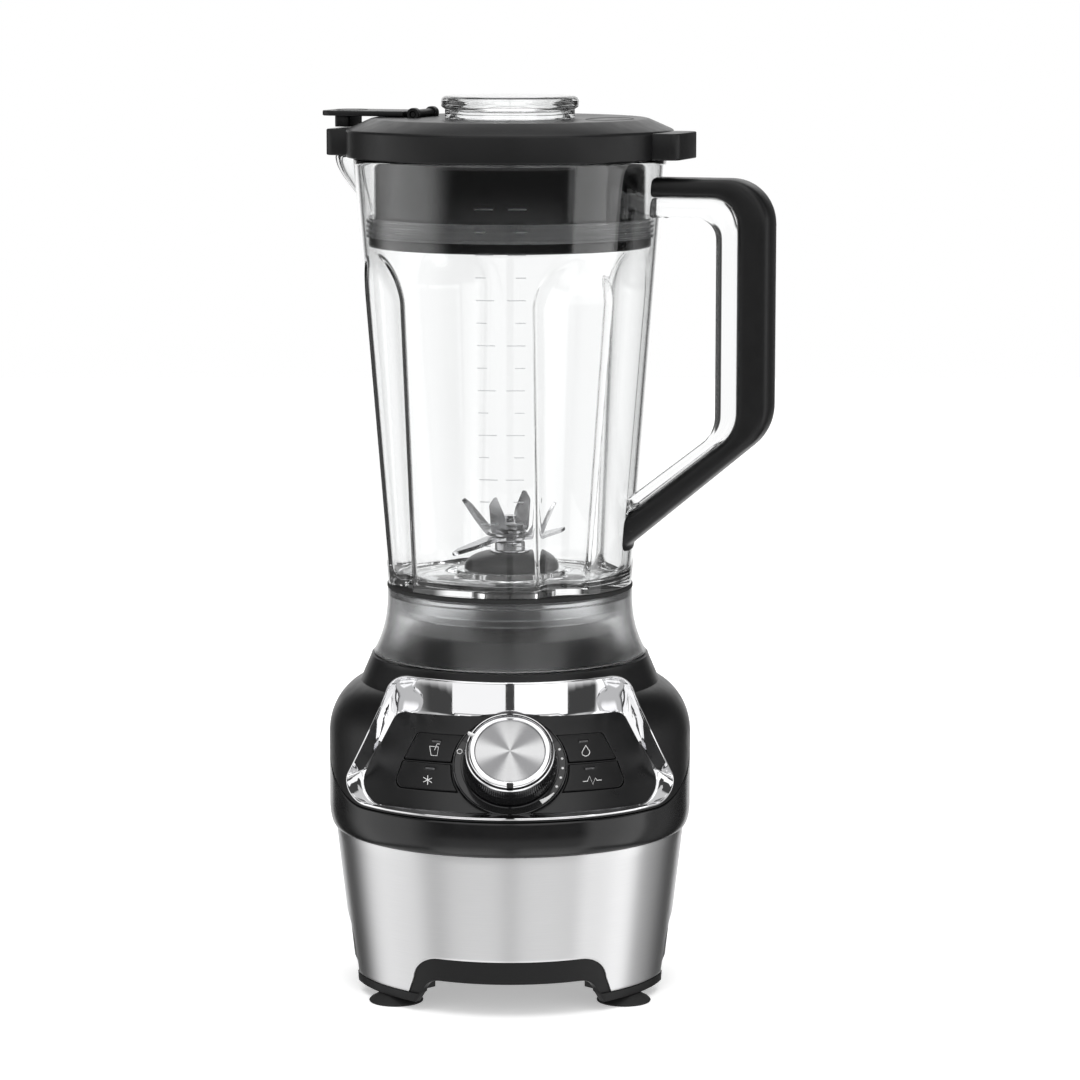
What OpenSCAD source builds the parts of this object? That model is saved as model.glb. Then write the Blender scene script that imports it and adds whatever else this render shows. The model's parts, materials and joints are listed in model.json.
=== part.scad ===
// Countertop blender: motor base with a recessed control face, lift-off jug
// with a six-wing blade set, plugged lid with a pour flap, and measuring cap.
// Frame: origin on the jug and motor axis at table level, +Z up, front is -Y.

/* [Base] */
// Largest radius of the base, at the gloss band
body_r = 91.4; // [90.5:0.1:92]
// Radius of the steel skirt at its top edge
skirt_top_r = 88.2; // [87.8:0.1:88.6]
// Radius of the steel skirt at its bottom edge
skirt_bottom_r = 79.6; // [79:0.1:80.5]
// Height of the skirt's bottom edge above the table
skirt_z0 = 9.5; // [9:0.1:10]
// Height of the joint between the steel skirt and the gloss band
skirt_z1 = 83; // [82:0.5:84]
// Height of the crease between the shoulder and the neck
shoulder_z = 157; // [156:0.5:158]
// Height of the top of the base, where the jug sits
neck_z = 170.5; // [170:0.1:170.8]
// Radius of the neck at its top
neck_r = 69.5; // [69:0.1:70]
// Distance of each foot from the middle, sideways
foot_x = 57; // [54:1:59]
// Distance of each foot from the middle, front to back
foot_y = 43; // [41:1:45]

/* [Control face] */
// Angle of the control panel from the horizontal
face_tilt = 49; // [47:1:51]
// Radius of the panel's gentle sideways curve
face_curve_r = 130; // [125:1:140]
// Radius of the round dial plate
dial_r = 28.2; // [27.5:0.1:28.6]
// Radius of the knob at its skirt
knob_r = 23.3; // [22:0.1:24]

/* [Jug] */
// Height of the underside of the jug's floor
jug_floor_z = 204; // [204:0.1:204.2]
// Outer radius of the jug at its floor
jug_bottom_r = 61.2; // [60.5:0.1:61.5]
// Outer radius of the jug at its rim
jug_top_r = 78; // [77.5:0.1:78.3]
// Height of the jug's rim
jug_rim_z = 419.5; // [419:0.1:419.8]
// Thickness of the jug's wall
jug_wall = 2.8; // [2.5:0.1:3]
// Direction of the handle, seen from above, in degrees
handle_az = -19; // [-30:1:-10]
// Distance from the axis to the handle's outer face
handle_reach = 136; // [134:1:138]

/* [Lid] */
// Radius of the lid's rim
lid_r = 81.5; // [81:0.1:82]
// Height of the lid's flat top
lid_top_z = 439; // [438.6:0.1:439]
// Height of the top of the measuring cap
cap_top_z = 450; // [449:0.1:451]

/* [Hidden] */
$fn = 96;

// Colours, by the material that they stand for
matte_black = [0.10, 0.10, 0.11];
gloss_black = [0.03, 0.03, 0.035];
steel = [0.72, 0.72, 0.74];
chrome = [0.85, 0.85, 0.87];
rubber = [0.14, 0.14, 0.14];
copper = [0.72, 0.43, 0.22];
iron = [0.35, 0.35, 0.37];
brass = [0.80, 0.64, 0.32];
clear = [0.85, 0.90, 0.93, 0.35];
frosted = [0.70, 0.72, 0.74, 0.7];
silicone = [0.80, 0.81, 0.82, 0.8];

eps = 0.01;
wall = 2.6;                     // thickness of the moulded casings
band_split_front_z = 101;       // top edge of the gloss band at the front
band_split_back_z = 124;        // and round the back
shoulder_start_z = 130;
shoulder_r = 66;                // radius at the middle of the shoulder's curve
pan_floor_z = 17;
pan_floor_t = 2.5;
leg_z = 4.6;                    // underside of the four legs
gland_z = 35;                   // height of the cord gland at the back

face_bottom_z = 103.8;          // bottom edge of the panel
face_bottom_y = -83;
dial_up = 27.1;                 // dial centre above the bottom edge, along the slope
face_y = face_bottom_y + dial_up * cos(face_tilt);
face_z = face_bottom_z + dial_up * sin(face_tilt);

motor_z0 = 72;                  // lower end of the laminations
motor_z1 = 108;
motor_r = 40;
rotor_r = 21.7;
shaft_r = 4;
run_fit = 0.05;                 // radial clearance of a shaft in its bore
coupling_z = 178;
spout_az = handle_az + 180;

// ---------------------------------------------------------------- helpers

function arc_points(p, a, b, r, n = 7) =
    // Points of a corner at p, rounded to radius r, between neighbours a and b
    let (u = (a - p) / norm(a - p), v = (b - p) / norm(b - p),
         half = acos(u * v) / 2,
         c = p + (u + v) / norm(u + v) * r / sin(half),
         s = p + u * r / tan(half), e = p + v * r / tan(half),
         a0 = atan2(s.y - c.y, s.x - c.x), a1 = atan2(e.y - c.y, e.x - c.x),
         d = a1 - a0, turn = d > 180 ? d - 360 : d < -180 ? d + 360 : d)
    [for (i = [0:n]) c + r * [cos(a0 + turn * i / n), sin(a0 + turn * i / n)]];

function rounded(pts) =
    // Outline through [x, y, radius] corners, sharp where the radius is 0
    let (n = len(pts))
    [for (i = [0:n - 1])
        let (p = pts[i], a = pts[(i + n - 1) % n], b = pts[(i + 1) % n])
        each p.z == 0 ? [[p.x, p.y]]
            : arc_points([p.x, p.y], [a.x, a.y], [b.x, b.y], p.z)];

function split_edges(pts, n) =
    // The same outline with each edge cut in n
    [for (i = [0:len(pts) - 1])
        let (a = pts[i], b = pts[(i + 1) % len(pts)])
        each [for (k = [0:n - 1]) a + (b - a) * k / n]];

function skirt_r(z) =
    skirt_bottom_r + (skirt_top_r - skirt_bottom_r) * (z - skirt_z0) / (skirt_z1 - skirt_z0);

function shoulder_at(z) =
    shoulder_r + (body_r - shoulder_r)
        * sqrt(max(0, 1 - pow((z - shoulder_start_z) / (shoulder_z + 2 - shoulder_start_z), 2)));

function neck_at(z) =
    let (crease_r = shoulder_at(shoulder_z))
    crease_r + (neck_r - crease_r) * (z - shoulder_z) / (neck_z - shoulder_z);

function housing_r(z) =
    z < shoulder_start_z ? body_r : z < shoulder_z ? shoulder_at(z) : neck_at(z);

function jug_r(z) =
    // Outer radius of the jug: one straight draft from floor to rim
    jug_bottom_r + (jug_top_r - jug_bottom_r) * (z - jug_floor_z) / (jug_rim_z - jug_floor_z);

module ring(r_out, r_in, z0, z1) {
    translate([0, 0, z0])
        difference() {
            cylinder(r = r_out, h = z1 - z0);
            translate([0, 0, -1]) cylinder(r = r_in, h = z1 - z0 + 2);
        }
}

module disc(r, z0, z1) {
    translate([0, 0, z0]) cylinder(r = r, h = z1 - z0);
}

module disc_hex(r, z0, z1) {
    translate([0, 0, z0]) cylinder(r = r, h = z1 - z0, $fn = 6);
}

module around(count, radius, start = 45) {
    for (i = [0:count - 1])
        rotate([0, 0, start + 360 * i / count]) translate([radius, 0, 0]) children();
}

// ---------------------------------------------------------- control face

function sag(x) = face_curve_r - sqrt(face_curve_r * face_curve_r - x * x);

// Front view (x, z) of a point on the panel, taken to the panel's own plane
function to_face(p) = [p.x, (p.y - face_z + sag(p.x) * cos(face_tilt)) / sin(face_tilt)];

// How far back (y) the panel's surface lies at a front-view point
function face_depth(p) =
    face_y + (p.y - face_z) / tan(face_tilt) + sag(p.x) / sin(face_tilt);

function mirrored(pts) =
    // Left half of an outline, top to bottom, closed with its mirror image
    concat([for (p = pts) [-p.x, p.y, p.z]], [for (i = [len(pts) - 1:-1:0]) pts[i]]);

panel_half = [[56.4, 145.5, 8], [79.3, 103.8, 9]];
rim_half = [[57.3, 166, 12], [86, 103.4, 9]];
panel_outline = split_edges(rounded(mirrored(panel_half)), 3);
rim_outline = split_edges(rounded(mirrored(rim_half)), 3);
recess_drop = 5;                // fall of the recess from its rim to its back wall

module in_face() {
    translate([0, face_y, face_z]) rotate([face_tilt, 0, 0]) children();
}

module curved_slab(front, back) {
    // Slab that follows the panel's curve, between two heights off its surface
    rotate([90, 0, 0])
        difference() {
            translate([0, -face_curve_r, -60]) cylinder(r = face_curve_r + front, h = 120);
            translate([0, -face_curve_r, -61]) cylinder(r = face_curve_r + back, h = 122);
        }
}

module face_piece(outline, front, back) {
    // A piece cut out along the panel's normal and domed like the panel
    intersection() {
        curved_slab(front, back);
        translate([0, 0, -45]) linear_extrude(60) polygon(outline);
    }
}

module recess(grow = 0) {
    // The hollow in front of the panel, from its edge out past the body
    middle = [0, -60, 130];
    centre = [0, middle.z];
    intersection() {
        hull()
            for (i = [0:len(rim_outline) - 1])
                let (q = rim_outline[i], f = panel_outline[i],
                     edge = [q.x, -sqrt(pow(housing_r(q.y), 2) - q.x * q.x), q.y],
                     low = [f.x, face_depth(f), f.y],
                     high = [low.x, low.y, max(low.z, edge.z - recess_drop)])
                    for (p = [low, high, edge + (edge - high) * 1.3])
                        translate(p + grow * (p - middle) / norm(p - middle))
                            cube(eps, center = true);
        // No part of it reaches past the rim's outline as seen from the front
        rotate([90, 0, 0]) linear_extrude(200)
            polygon([for (q = rim_outline) q + grow * (q - centre) / norm(q - centre)]);
    }
}

// ------------------------------------------------------------ base casing

module foot(x, y) {
    color(rubber) translate([x, y, 0])
        difference() {
            union() {
                cylinder(r1 = 13.6, r2 = 8.5, h = 4.1);
                cylinder(r = 5.8, h = 9.5);
            }
            translate([0, 0, -eps]) cylinder(r1 = 12.4, r2 = 8, h = 1.6);
        }
}

module arch(half_w, top_z, radius, along_x = false) {
    // An opening under the casing, right through it from side to side
    spread = 1.1;
    pts = rounded([[-half_w * spread, -5, 0], [-half_w, top_z, radius],
        [half_w, top_z, radius], [half_w * spread, -5, 0]]);
    rotate([90, 0, along_x ? 90 : 0])
        linear_extrude(240, center = true) polygon(pts);
}

module base_pan() {
    rim_z = 9.2;
    pan_top_z = 46;
    color(matte_black) difference() {
        union() {
            disc(skirt_bottom_r - 0.2, leg_z, rim_z);
            translate([0, 0, rim_z - eps])
                cylinder(r1 = skirt_r(rim_z) - 1, r2 = skirt_r(pan_top_z) - 1,
                    h = pan_top_z - rim_z);
        }
        difference() {
            translate([0, 0, pan_floor_z + pan_floor_t])
                cylinder(r1 = skirt_r(20) - 3.6, r2 = skirt_r(pan_top_z) - 3.4, h = 40);
            around(4, 58) disc(6.5, 0, 36);
        }
        arch(42.5, pan_floor_z, 9);
        arch(19, 14, 6, along_x = true);
        for (sx = [-1, 1], sy = [-1, 1])
            translate([sx * foot_x, sy * foot_y, 0]) disc(5.8, 0, 9.5);
        for (x = [-30:6:30])
            translate([x - 1.5, -22, 0]) cube([3, 44, 30]);
        around(4, 58) disc(2, 0, 40);
        translate([0, 100, gland_z]) rotate([90, 0, 0]) cylinder(r = 8, h = 40);
    }
}

module steel_skirt() {
    color(steel) difference() {
        translate([0, 0, skirt_z0])
            difference() {
                cylinder(r1 = skirt_bottom_r, r2 = skirt_top_r, h = skirt_z1 - skirt_z0);
                translate([0, 0, -eps])
                    cylinder(r1 = skirt_bottom_r - 0.9, r2 = skirt_top_r - 0.9,
                        h = skirt_z1 - skirt_z0 + 2 * eps);
            }
        arch(46, 29, 13);
        arch(21, 38, 15, along_x = true);
        translate([0, 100, gland_z]) rotate([90, 0, 0]) cylinder(r = 8, h = 40);
    }
}

split_y0 = -56;
split_y1 = 14;
function split_z(y) =
    // Height of the joint between gloss band and upper housing: an S from front to back
    let (t = min(1, max(0, (y - split_y0) / (split_y1 - split_y0))))
    band_split_front_z + (band_split_back_z - band_split_front_z) * t * t * (3 - 2 * t);

module below_split(lift) {
    steps = [for (i = [0:14]) split_y0 + (split_y1 - split_y0) * i / 14];
    rotate([90, 0, 90])
        linear_extrude(240, center = true)
            polygon(concat([[120, 0], [-120, 0], [-120, band_split_front_z + lift]],
                [for (y = steps) [y, split_z(y) + lift]],
                [[120, band_split_back_z + lift]]));
}

module gloss_band() {
    z0 = skirt_z1 + 0.3;
    bulge_z = 93;
    arc = [for (i = [0:6])
        [skirt_top_r + 0.2 + (body_r - skirt_top_r - 0.2) * sin(15 * i),
            bulge_z - (bulge_z - z0) * cos(15 * i)]];
    color(gloss_black) intersection() {
        rotate_extrude() polygon(concat(arc,
            [[body_r, 130], [body_r - wall, 130], [body_r - wall, 96], [84, z0]]));
        below_split(-0.15);
    }
}

module upper_housing() {
    z_in = shoulder_z - 2;
    steps = [for (i = [0:12]) shoulder_start_z + (shoulder_z - shoulder_start_z) * sin(7.5 * i)];
    outer = [for (z = steps) [shoulder_at(z), z]];
    inner = [for (i = [12:-1:0]) [shoulder_at(steps[i]) - wall, steps[i] - wall * i / 12]];
    color(matte_black) difference() {
        rotate_extrude() polygon(concat(
            [[body_r, 96]], outer, [[neck_r, neck_z], [62, neck_z], [62, neck_z - 2.5],
                [neck_r - 2.5, neck_z - 2.5], [neck_at(z_in) - wall, z_in]],
            [for (p = inner) if (p.y < z_in - 1) p], [[body_r - wall, 96]]));
        below_split(0.15);
        recess(1.4);
    }
}

module bezel() {
    color(chrome) intersection() {
        difference() {
            recess(1.4);
            recess();
            in_face() {
                translate([0, 0, -50]) linear_extrude(100)
                    polygon([for (p = panel_outline) to_face(p)]);
                translate([0, 0, -10]) cylinder(r = dial_r, h = 12);
            }
        }
        rotate_extrude() polygon(concat([[0, 90], [body_r + 0.3, 90]],
            [for (i = [0:12]) let (z = shoulder_start_z
                + (shoulder_z - shoulder_start_z) * sin(7.5 * i)) [shoulder_at(z) + 0.3, z]],
            [[neck_r + 0.3, neck_z], [0, neck_z]]));
    }
}

module control_panel() {
    slack = 0.35;
    outline = [for (p = panel_outline) to_face(p)];
    color(gloss_black) in_face() difference() {
        face_piece(outline, 0, -wall);
        translate([0, 0, -10]) cylinder(r = dial_r, h = 20);
        for (side = [-1, 1], row = [0, 1])
            translate([0, 0, -45]) linear_extrude(60)
                polygon(button_outline(side, row, slack));
    }
}

module dial_plate() {
    color(matte_black) in_face() difference() {
        translate([0, 0, -5]) cylinder(r = dial_r, h = 6.2);
        translate([0, 0, -6]) cylinder(r = 3.6, h = 10);
    }
}

// Rows of buttons: [top height, bottom height, outer x at top, outer x at bottom]
button_rows = [[136.6, 124.9, 45.6, 52.6], [123.7, 112.5, 53.0, 57.4]];
button_gap_r = dial_r + 1;

function button_outline(side, row, grow = 0) =
    // Outline in the panel's plane; the edge by the dial is an arc round it
    let (b = button_rows[row],
         outer = rounded([[20, b[0] + grow, 0], [b[2] + grow, b[0] + grow, row == 0 ? 3 : 0.6],
            [b[3] + grow, b[1] - grow, row == 0 ? 0.6 : 3], [20, b[1] - grow, 0]]),
         cut = [for (p = split_edges(outer, 4)) if (p.x > 20.1) to_face(p)],
         r = button_gap_r - grow,
         top_a = asin(min(1, cut[0].y / r)), low_a = asin(max(-1, cut[len(cut) - 1].y / r)),
         arc = [for (i = [0:8]) let (a = low_a + (top_a - low_a) * i / 8)
            r * [cos(a), sin(a)]])
    [for (p = concat([for (q = cut) if (norm(q) > r) q], arc)) [side * p.x, p.y]];

function led_place(side, row) = to_face([side * (row == 0 ? 36.5 : 39.5), row == 0 ? 133.4 : 121.6]);
led_w = 4.6;
led_h = 1.2;

module button(side, row) {
    place = led_place(side, row);
    post = to_face([side * 40, row == 0 ? 129.5 : 117.5]);
    color(matte_black) in_face() difference() {
        union() {
            face_piece(button_outline(side, row), 0.7, -3.2);
            translate([post.x, post.y, -6.5 - sag(post.x)]) cylinder(r = 2.5, h = 4.5);
        }
        translate([place.x - led_w / 2 - 0.3, place.y - led_h / 2 - 0.3, -20])
            cube([led_w + 0.6, led_h + 0.6, 40]);
    }
}

module light_pipes() {
    color(silicone) in_face()
        for (side = [-1, 1], row = [0, 1])
            let (place = led_place(side, row))
                translate([place.x - led_w / 2, place.y - led_h / 2, -15])
                    cube([led_w, led_h, 15.3 - sag(place.x)]);
}

module control_board() {
    color([0.1, 0.35, 0.2]) in_face() {
        translate([-47, -21, -16.6]) cube([94, 40, 1.6]);
        for (side = [-1, 1], row = [0, 1])
            let (post = to_face([side * 40, row == 0 ? 129.5 : 117.5]))
                translate([post.x, post.y, -15]) cylinder(r = 3, h = 0.8);
    }
}

module speed_switch() {
    color(iron) in_face() difference() {
        translate([0, 0, -15]) cylinder(r = 11, h = 9.5);
        translate([0, 0, -9]) cylinder(r = 3 + run_fit, h = 5);
    }
}

// ------------------------------------------------------------------ knob

knob_z0 = 1.6;                  // knob's underside above the panel's middle
knob_z1 = 13;

module speed_knob() {
    color(gloss_black) in_face() {
        translate([0, 0, knob_z0]) cylinder(r1 = knob_r, r2 = 21.6, h = knob_z1 - knob_z0);
        translate([0, 0, -8.5]) cylinder(r = 3, h = 12);
    }
}

module knob_ring() {
    color(chrome) in_face() difference() {
        translate([0, 0, knob_z1]) cylinder(r1 = 21.9, r2 = 21.2, h = 2.2);
        translate([0, 0, knob_z1 - 1]) cylinder(r = 17.4, h = 5);
    }
}

module knob_cap() {
    color(steel) in_face() translate([0, 0, knob_z1]) cylinder(r = 17.2, h = 1.8);
}

// ----------------------------------------------------- jug seat and switch

plunger_y = 44;
plunger_r = 2.5;

module jug_seat() {
    color(matte_black) difference() {
        union() {
            disc(61.8, 168, 170.5);
            translate([0, 0, 170.5 - eps]) cylinder(r1 = 57, r2 = 52, h = 12.5);
        }
        difference() {
            translate([0, 0, 164]) cylinder(r1 = 54, r2 = 49.5, h = 16);
            disc(25, 160, 184);
            translate([0, plunger_y, 0]) disc(5, 160, 184);
        }
        disc(22, 173, 190);
        disc(6, 160, 190);
        translate([0, plunger_y, 0]) disc(plunger_r + run_fit, 160, 190);
    }
}

module interlock_switch() {
    color(iron) translate([-10, plunger_y - 5, 149]) cube([20, 10, 9]);
}

module interlock_plunger() {
    color(silicone) translate([0, plunger_y, 0]) {
        disc(plunger_r, 158.3, 187);
    }
}

// ----------------------------------------------------------------- motor

post_r = 34.5;
screw_r = 2;

module coil_sector(z0, z1) {
    intersection() {
        ring(35, 26, z0, z1);
        for (side = [0, 180])
            rotate([0, 0, side]) linear_extrude(200)
                polygon([[0, 0], [60, -38], [60, 38]]);
    }
}

module motor_stator() {
    color(iron) difference() {
        ring(motor_r, rotor_r + 0.5, motor_z0, motor_z1);
        coil_sector(motor_z0 - 1, motor_z1 + 1);
        around(4, post_r) disc(screw_r, 0, 200);
    }
}

module field_coils() {
    color(copper) coil_sector(motor_z0 - 7, motor_z1 + 7);
}

module bracket_body(z0, z1, post0, post1) {
    disc(30, z0, z1);
    around(4, post_r) disc(5, post0, post1);
    for (a = [45, 135]) rotate([0, 0, a])
        translate([-post_r, -4, z0]) cube([2 * post_r, 8, z1 - z0]);
}

module motor_bracket_bottom() {
    color(steel) difference() {
        union() {
            bracket_body(48, 52, 48, motor_z0);
            disc(14, 44, 52);
            for (a = [45, 135]) rotate([0, 0, a]) translate([-64, -5, 44]) cube([128, 10, 4]);
        }
        disc(11, 45.5, 60);
        disc(6, 40, 60);
        around(4, post_r) disc(screw_r, 0, 100);
        around(4, 58) disc(screw_r, 0, 100);
    }
}

module motor_bracket_top() {
    color(steel) difference() {
        union() {
            bracket_body(118.5, 121.5, motor_z1, 121.5);
            disc(14, 118.5, 129);
        }
        disc(11, 100, 127.5);
        disc(6, 100, 140);
        around(4, post_r) disc(screw_r, 100, 140);
    }
}

module motor_bearings() {
    color(steel) {
        ring(11, shaft_r + run_fit, 45.5, 51.5);
        ring(11, shaft_r + run_fit, 121.5, 127.5);
    }
}

module brush_holders() {
    color(brass)
        for (side = [0, 180])
            rotate([0, 0, side]) difference() {
                translate([13.5, -4.5, 52]) cube([14, 9, 12.5]);
                translate([13, -3, 54]) cube([15, 6, 8.5]);
            }
}

module carbon_brushes() {
    color(rubber)
        for (side = [0, 180])
            rotate([0, 0, side]) translate([11.4, -3, 54]) cube([14.6, 6, 8.5]);
}

module motor_mounts() {
    color(rubber) around(4, 58) ring(8, screw_r, 36, 44);
}

module motor_screws() {
    color(chrome) {
        around(4, post_r) {
            disc(screw_r, 44, 124);
            disc(3.8, 121.5, 124);
        }
    }
}

module base_screws() {
    color(chrome) around(4, 58) {
        disc(screw_r, 20, 50.5);
        disc(4, 48, 50.5);
    }
}

module cord_gland() {
    // Sleeve through the skirt, with a flange that sits against its outside
    color(rubber) difference() {
        union() {
            translate([0, 84.9, gland_z]) rotate([90, 0, 0]) cylinder(r = 8, h = 14.2);
            difference() {
                translate([0, 84.9, gland_z]) rotate([90, 0, 0]) cylinder(r = 10, h = 8);
                translate([0, 0, skirt_z0])
                    cylinder(r1 = skirt_bottom_r + 0.05, r2 = skirt_top_r + 0.05,
                        h = skirt_z1 - skirt_z0);
            }
        }
        translate([0, 86, gland_z]) rotate([90, 0, 0]) cylinder(r = 3.6, h = 20);
    }
}

module motor_shaft() {
    color(chrome) disc(shaft_r, 24, 186);
}

module armature() {
    color(iron) difference() {
        union() {
            disc(rotor_r, motor_z0, motor_z1);
            disc(17, motor_z0 - 5, motor_z1 + 5);
        }
        disc(shaft_r, 0, 200);
        around(12, rotor_r + 0.6, 0) disc(2, motor_z0 - 1, motor_z1 + 1);
    }
}

module commutator() {
    color(copper) ring(11, shaft_r, 53, 66);
}

module cooling_fan() {
    blades = 9;
    color(gloss_black) difference() {
        union() {
            disc(34, 27, 29);
            disc(8, 27, 38);
            for (i = [0:blades - 1])
                rotate([0, 0, 360 * i / blades]) translate([7, -1, 28]) cube([26, 2, 9]);
        }
        disc(shaft_r, 0, 60);
    }
}

module lobes(r_out, r_in, h) {
    // Six-lobed star that couples the two halves of the drive
    linear_extrude(h) {
        circle(r = r_in);
        for (i = [0:5])
            rotate(60 * i) translate([0, -(r_out - r_in) * 0.7])
                square([r_out, (r_out - r_in) * 1.4]);
    }
}

module drive_coupling() {
    color(matte_black) difference() {
        disc(17.5, coupling_z, coupling_z + 17);
        disc(shaft_r, 100, 186);
        translate([0, 0, 187]) lobes(14.4, 10.4, 20);
    }
}

// ------------------------------------------------------------------- jug

flute_count = 4;
flute_arc_z = 351;              // height of the middle of a flute's round top
flute_r = 36;                   // radius of a flute at its top
flute_low_r = 20;               // and at the floor
flute_depth = 9;
flute_low_depth = 5.5;

module flute(grow) {
    // A long groove down the wall with a round top, narrower towards the floor
    top_r = flute_r + grow;
    z0 = jug_floor_z - 6;
    h = flute_arc_z - z0;
    top_x = jug_r(flute_arc_z) - flute_depth + flute_r;
    low_x = jug_r(z0) - flute_low_depth + flute_low_r;
    translate([low_x, 0, z0]) rotate([0, atan((top_x - low_x) / h), 0])
        rotate_extrude() polygon(concat([[0, 0], [flute_low_r + grow, 0]],
            [for (i = [0:6]) [top_r * cos(15 * i), h + top_r * sin(15 * i)]]));
}

module jug_solid(inset, z0, z1) {
    translate([0, 0, z0])
        cylinder(r1 = jug_r(z0) - inset, r2 = jug_r(z1) - inset, h = z1 - z0);
}

module spout(grow) {
    rotate([0, 0, spout_az]) hull() {
        translate([76 + grow, -17 - grow, jug_rim_z - 1]) cube([1, 34 + 2 * grow, 1]);
        translate([92 + grow, -5, jug_rim_z - 1]) cube([1, 10, 1]);
        translate([73 + grow, -3, jug_rim_z - 29]) cube([1, 6, 1]);
        translate([50, -10, jug_rim_z - 20]) cube([1, 20, 20]);
    }
}

// Handle outlines in (distance from the axis, height)
grip_outer = [[70, 411, 0], [handle_reach, 411, 22], [handle_reach, 288, 26], [60, 225, 0]];
grip_inner = [[60, 241, 0], [handle_reach - 17, 287, 20], [handle_reach - 17, 401, 13],
    [70, 401, 0]];
clear_inner = [[60, 249, 0], [handle_reach - 28, 286, 16], [handle_reach - 28, 391, 10],
    [70, 391, 0]];

function reversed(pts) = [for (i = [len(pts) - 1:-1:0]) pts[i]];

module handle_slab(outline, half_t) {
    rotate([90, 0, handle_az]) linear_extrude(2 * half_t, center = true)
        polygon(rounded(outline));
}

boss_r = 27;                    // raised middle of the jug's floor
boss_z = 213;

module jug_vessel() {
    color(clear) difference() {
        union() {
            jug_solid(0, jug_floor_z + 2.3, jug_rim_z);
            disc(52, 194, jug_floor_z + 3);
            spout(0);
            handle_slab(concat(grip_inner, reversed(clear_inner)), 8);
        }
        difference() {
            union() {
                jug_solid(jug_wall, jug_floor_z + 5, jug_rim_z + 4);
                spout(-jug_wall);
                translate([0, 0, jug_rim_z - eps])
                    cylinder(r = 200, h = 10);
            }
            around(flute_count, 0, handle_az + 45) flute(jug_wall);
            disc(boss_r, jug_floor_z, boss_z);
        }
        around(flute_count, 0, handle_az + 45) flute(0);
        disc(48, 190, jug_floor_z);
        disc(13, 190, 230);
    }
}

module handle_grip() {
    color(matte_black) difference() {
        handle_slab(concat(grip_outer, grip_inner), 10.5);
        jug_solid(-0.2, jug_floor_z, jug_rim_z);
    }
}

function collar_flare(t) = 61.6 + 7.2 * pow(1 - t, 2.6);

module jug_collar() {
    z0 = 171;
    z1 = jug_floor_z;
    outer = [for (i = [0:10]) [collar_flare(i / 10), z0 + (z1 - z0) * i / 10]];
    inner = [for (i = [10:-1:0]) [collar_flare(i / 10) - 2.6, z0 + (z1 - z0) * i / 10]];
    color(frosted) {
        rotate_extrude() polygon(concat(outer, [[52.2, z1], [52.2, z1 - 13], [55, z1 - 13],
            [55, z1 - 3]], [for (p = inner) if (p.y < z1 - 3) p]));
        translate([-5, plunger_y - 4, 187.3]) cube([10, 8, 6.2]);
        translate([-5, plunger_y - 4, z1 - 13]) cube([10, 14, 2.5]);
    }
}

module jug_gasket() {
    color(rubber) ring(61.9, 52.2, jug_floor_z, jug_floor_z + 2.3);
}

module blade_hub() {
    dome = [for (i = [0:6]) [7 + 16 * cos(15 * i), boss_z + 1 + 8 * sin(15 * i)]];
    color(matte_black) rotate_extrude()
        polygon(concat([[7, 195.8], [13, 195.8], [13, boss_z], [23, boss_z]], dome));
}

module hub_nut() {
    color(steel) difference() {
        disc_hex(23, 195.8, jug_floor_z);
        disc(13, 190, 210);
    }
}

module blade_bush() {
    color(brass) ring(7, shaft_r + run_fit, 197.3, 221);
}

// ---------------------------------------------------------------- blades

module blade_shaft() {
    color(chrome) {
        disc(shaft_r, 187.4, 240);
        ring(7.6, shaft_r - eps, 222.3, 227);
    }
}

module wing(length, half_w, bend) {
    // One wing: a flat root, then a tapering tip bent up or down about the root's end
    root = 10;
    t = 1.5;
    linear_extrude(t) translate([0, -half_w]) square([root, 2 * half_w]);
    translate([root, 0, t / 2]) rotate([0, -bend, 0]) translate([0, 0, -t / 2])
        linear_extrude(t) polygon([[-0.5, -half_w * 0.97], [length * 0.8, -half_w * 0.7],
            [length, -half_w * 0.1], [length, half_w * 0.35], [length * 0.5, half_w * 0.9],
            [-0.5, half_w * 0.97]]);
}

module blade(z, turn, bends, lengths, half_w) {
    color(chrome) difference() {
        translate([0, 0, z]) {
            cylinder(r = 8, h = 1.5);
            for (i = [0, 1])
                rotate([0, 0, turn + 180 * i]) wing(lengths[i], half_w, bends[i]);
        }
        disc(shaft_r, z - 1, z + 3);
    }
}

module blade_upper() { blade(231.4, 62, [72, 72], [19, 19], 5); }
module blade_middle() { blade(229.6, 164, [50, 56], [22, 20], 5.5); }
module blade_lower() { blade(227.8, 28, [8, -16], [20, 23], 6); }

module blade_nut() {
    color(chrome) difference() {
        union() {
            disc_hex(6.6, 233, 237);
            disc(5, 237, 238.5);
        }
        disc(shaft_r, 200, 260);
    }
}

module driven_coupling() {
    color(matte_black) difference() {
        union() {
            translate([0, 0, 187.4]) lobes(13.9, 9.9, 6.2);
            disc(9.9, 187.4, 194.5);
        }
        disc(shaft_r, 150, 210);
    }
}

// ------------------------------------------------------------------- lid

cap_hole_r = 30;
plug_r = 67.8;
lid_z0 = 419.9;                 // lower edge of the lid, just clear of the jug's rim
flap_hinge_r = 46;              // distance of the flap's hinge from the axis
flap_z = 440.6;
flap_pin_r = 1.5;

module flap_frame() {
    rotate([0, 0, spout_az]) translate([flap_hinge_r, 0, flap_z]) children();
}

module lid_tab(az) {
    rotate([0, 0, az]) translate([0, 0, lid_z0]) linear_extrude(433 - lid_z0)
        polygon(rounded([[76, -18, 0], [92.5, -18, 5], [92.5, 18, 5], [76, 18, 0]]));
}

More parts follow.
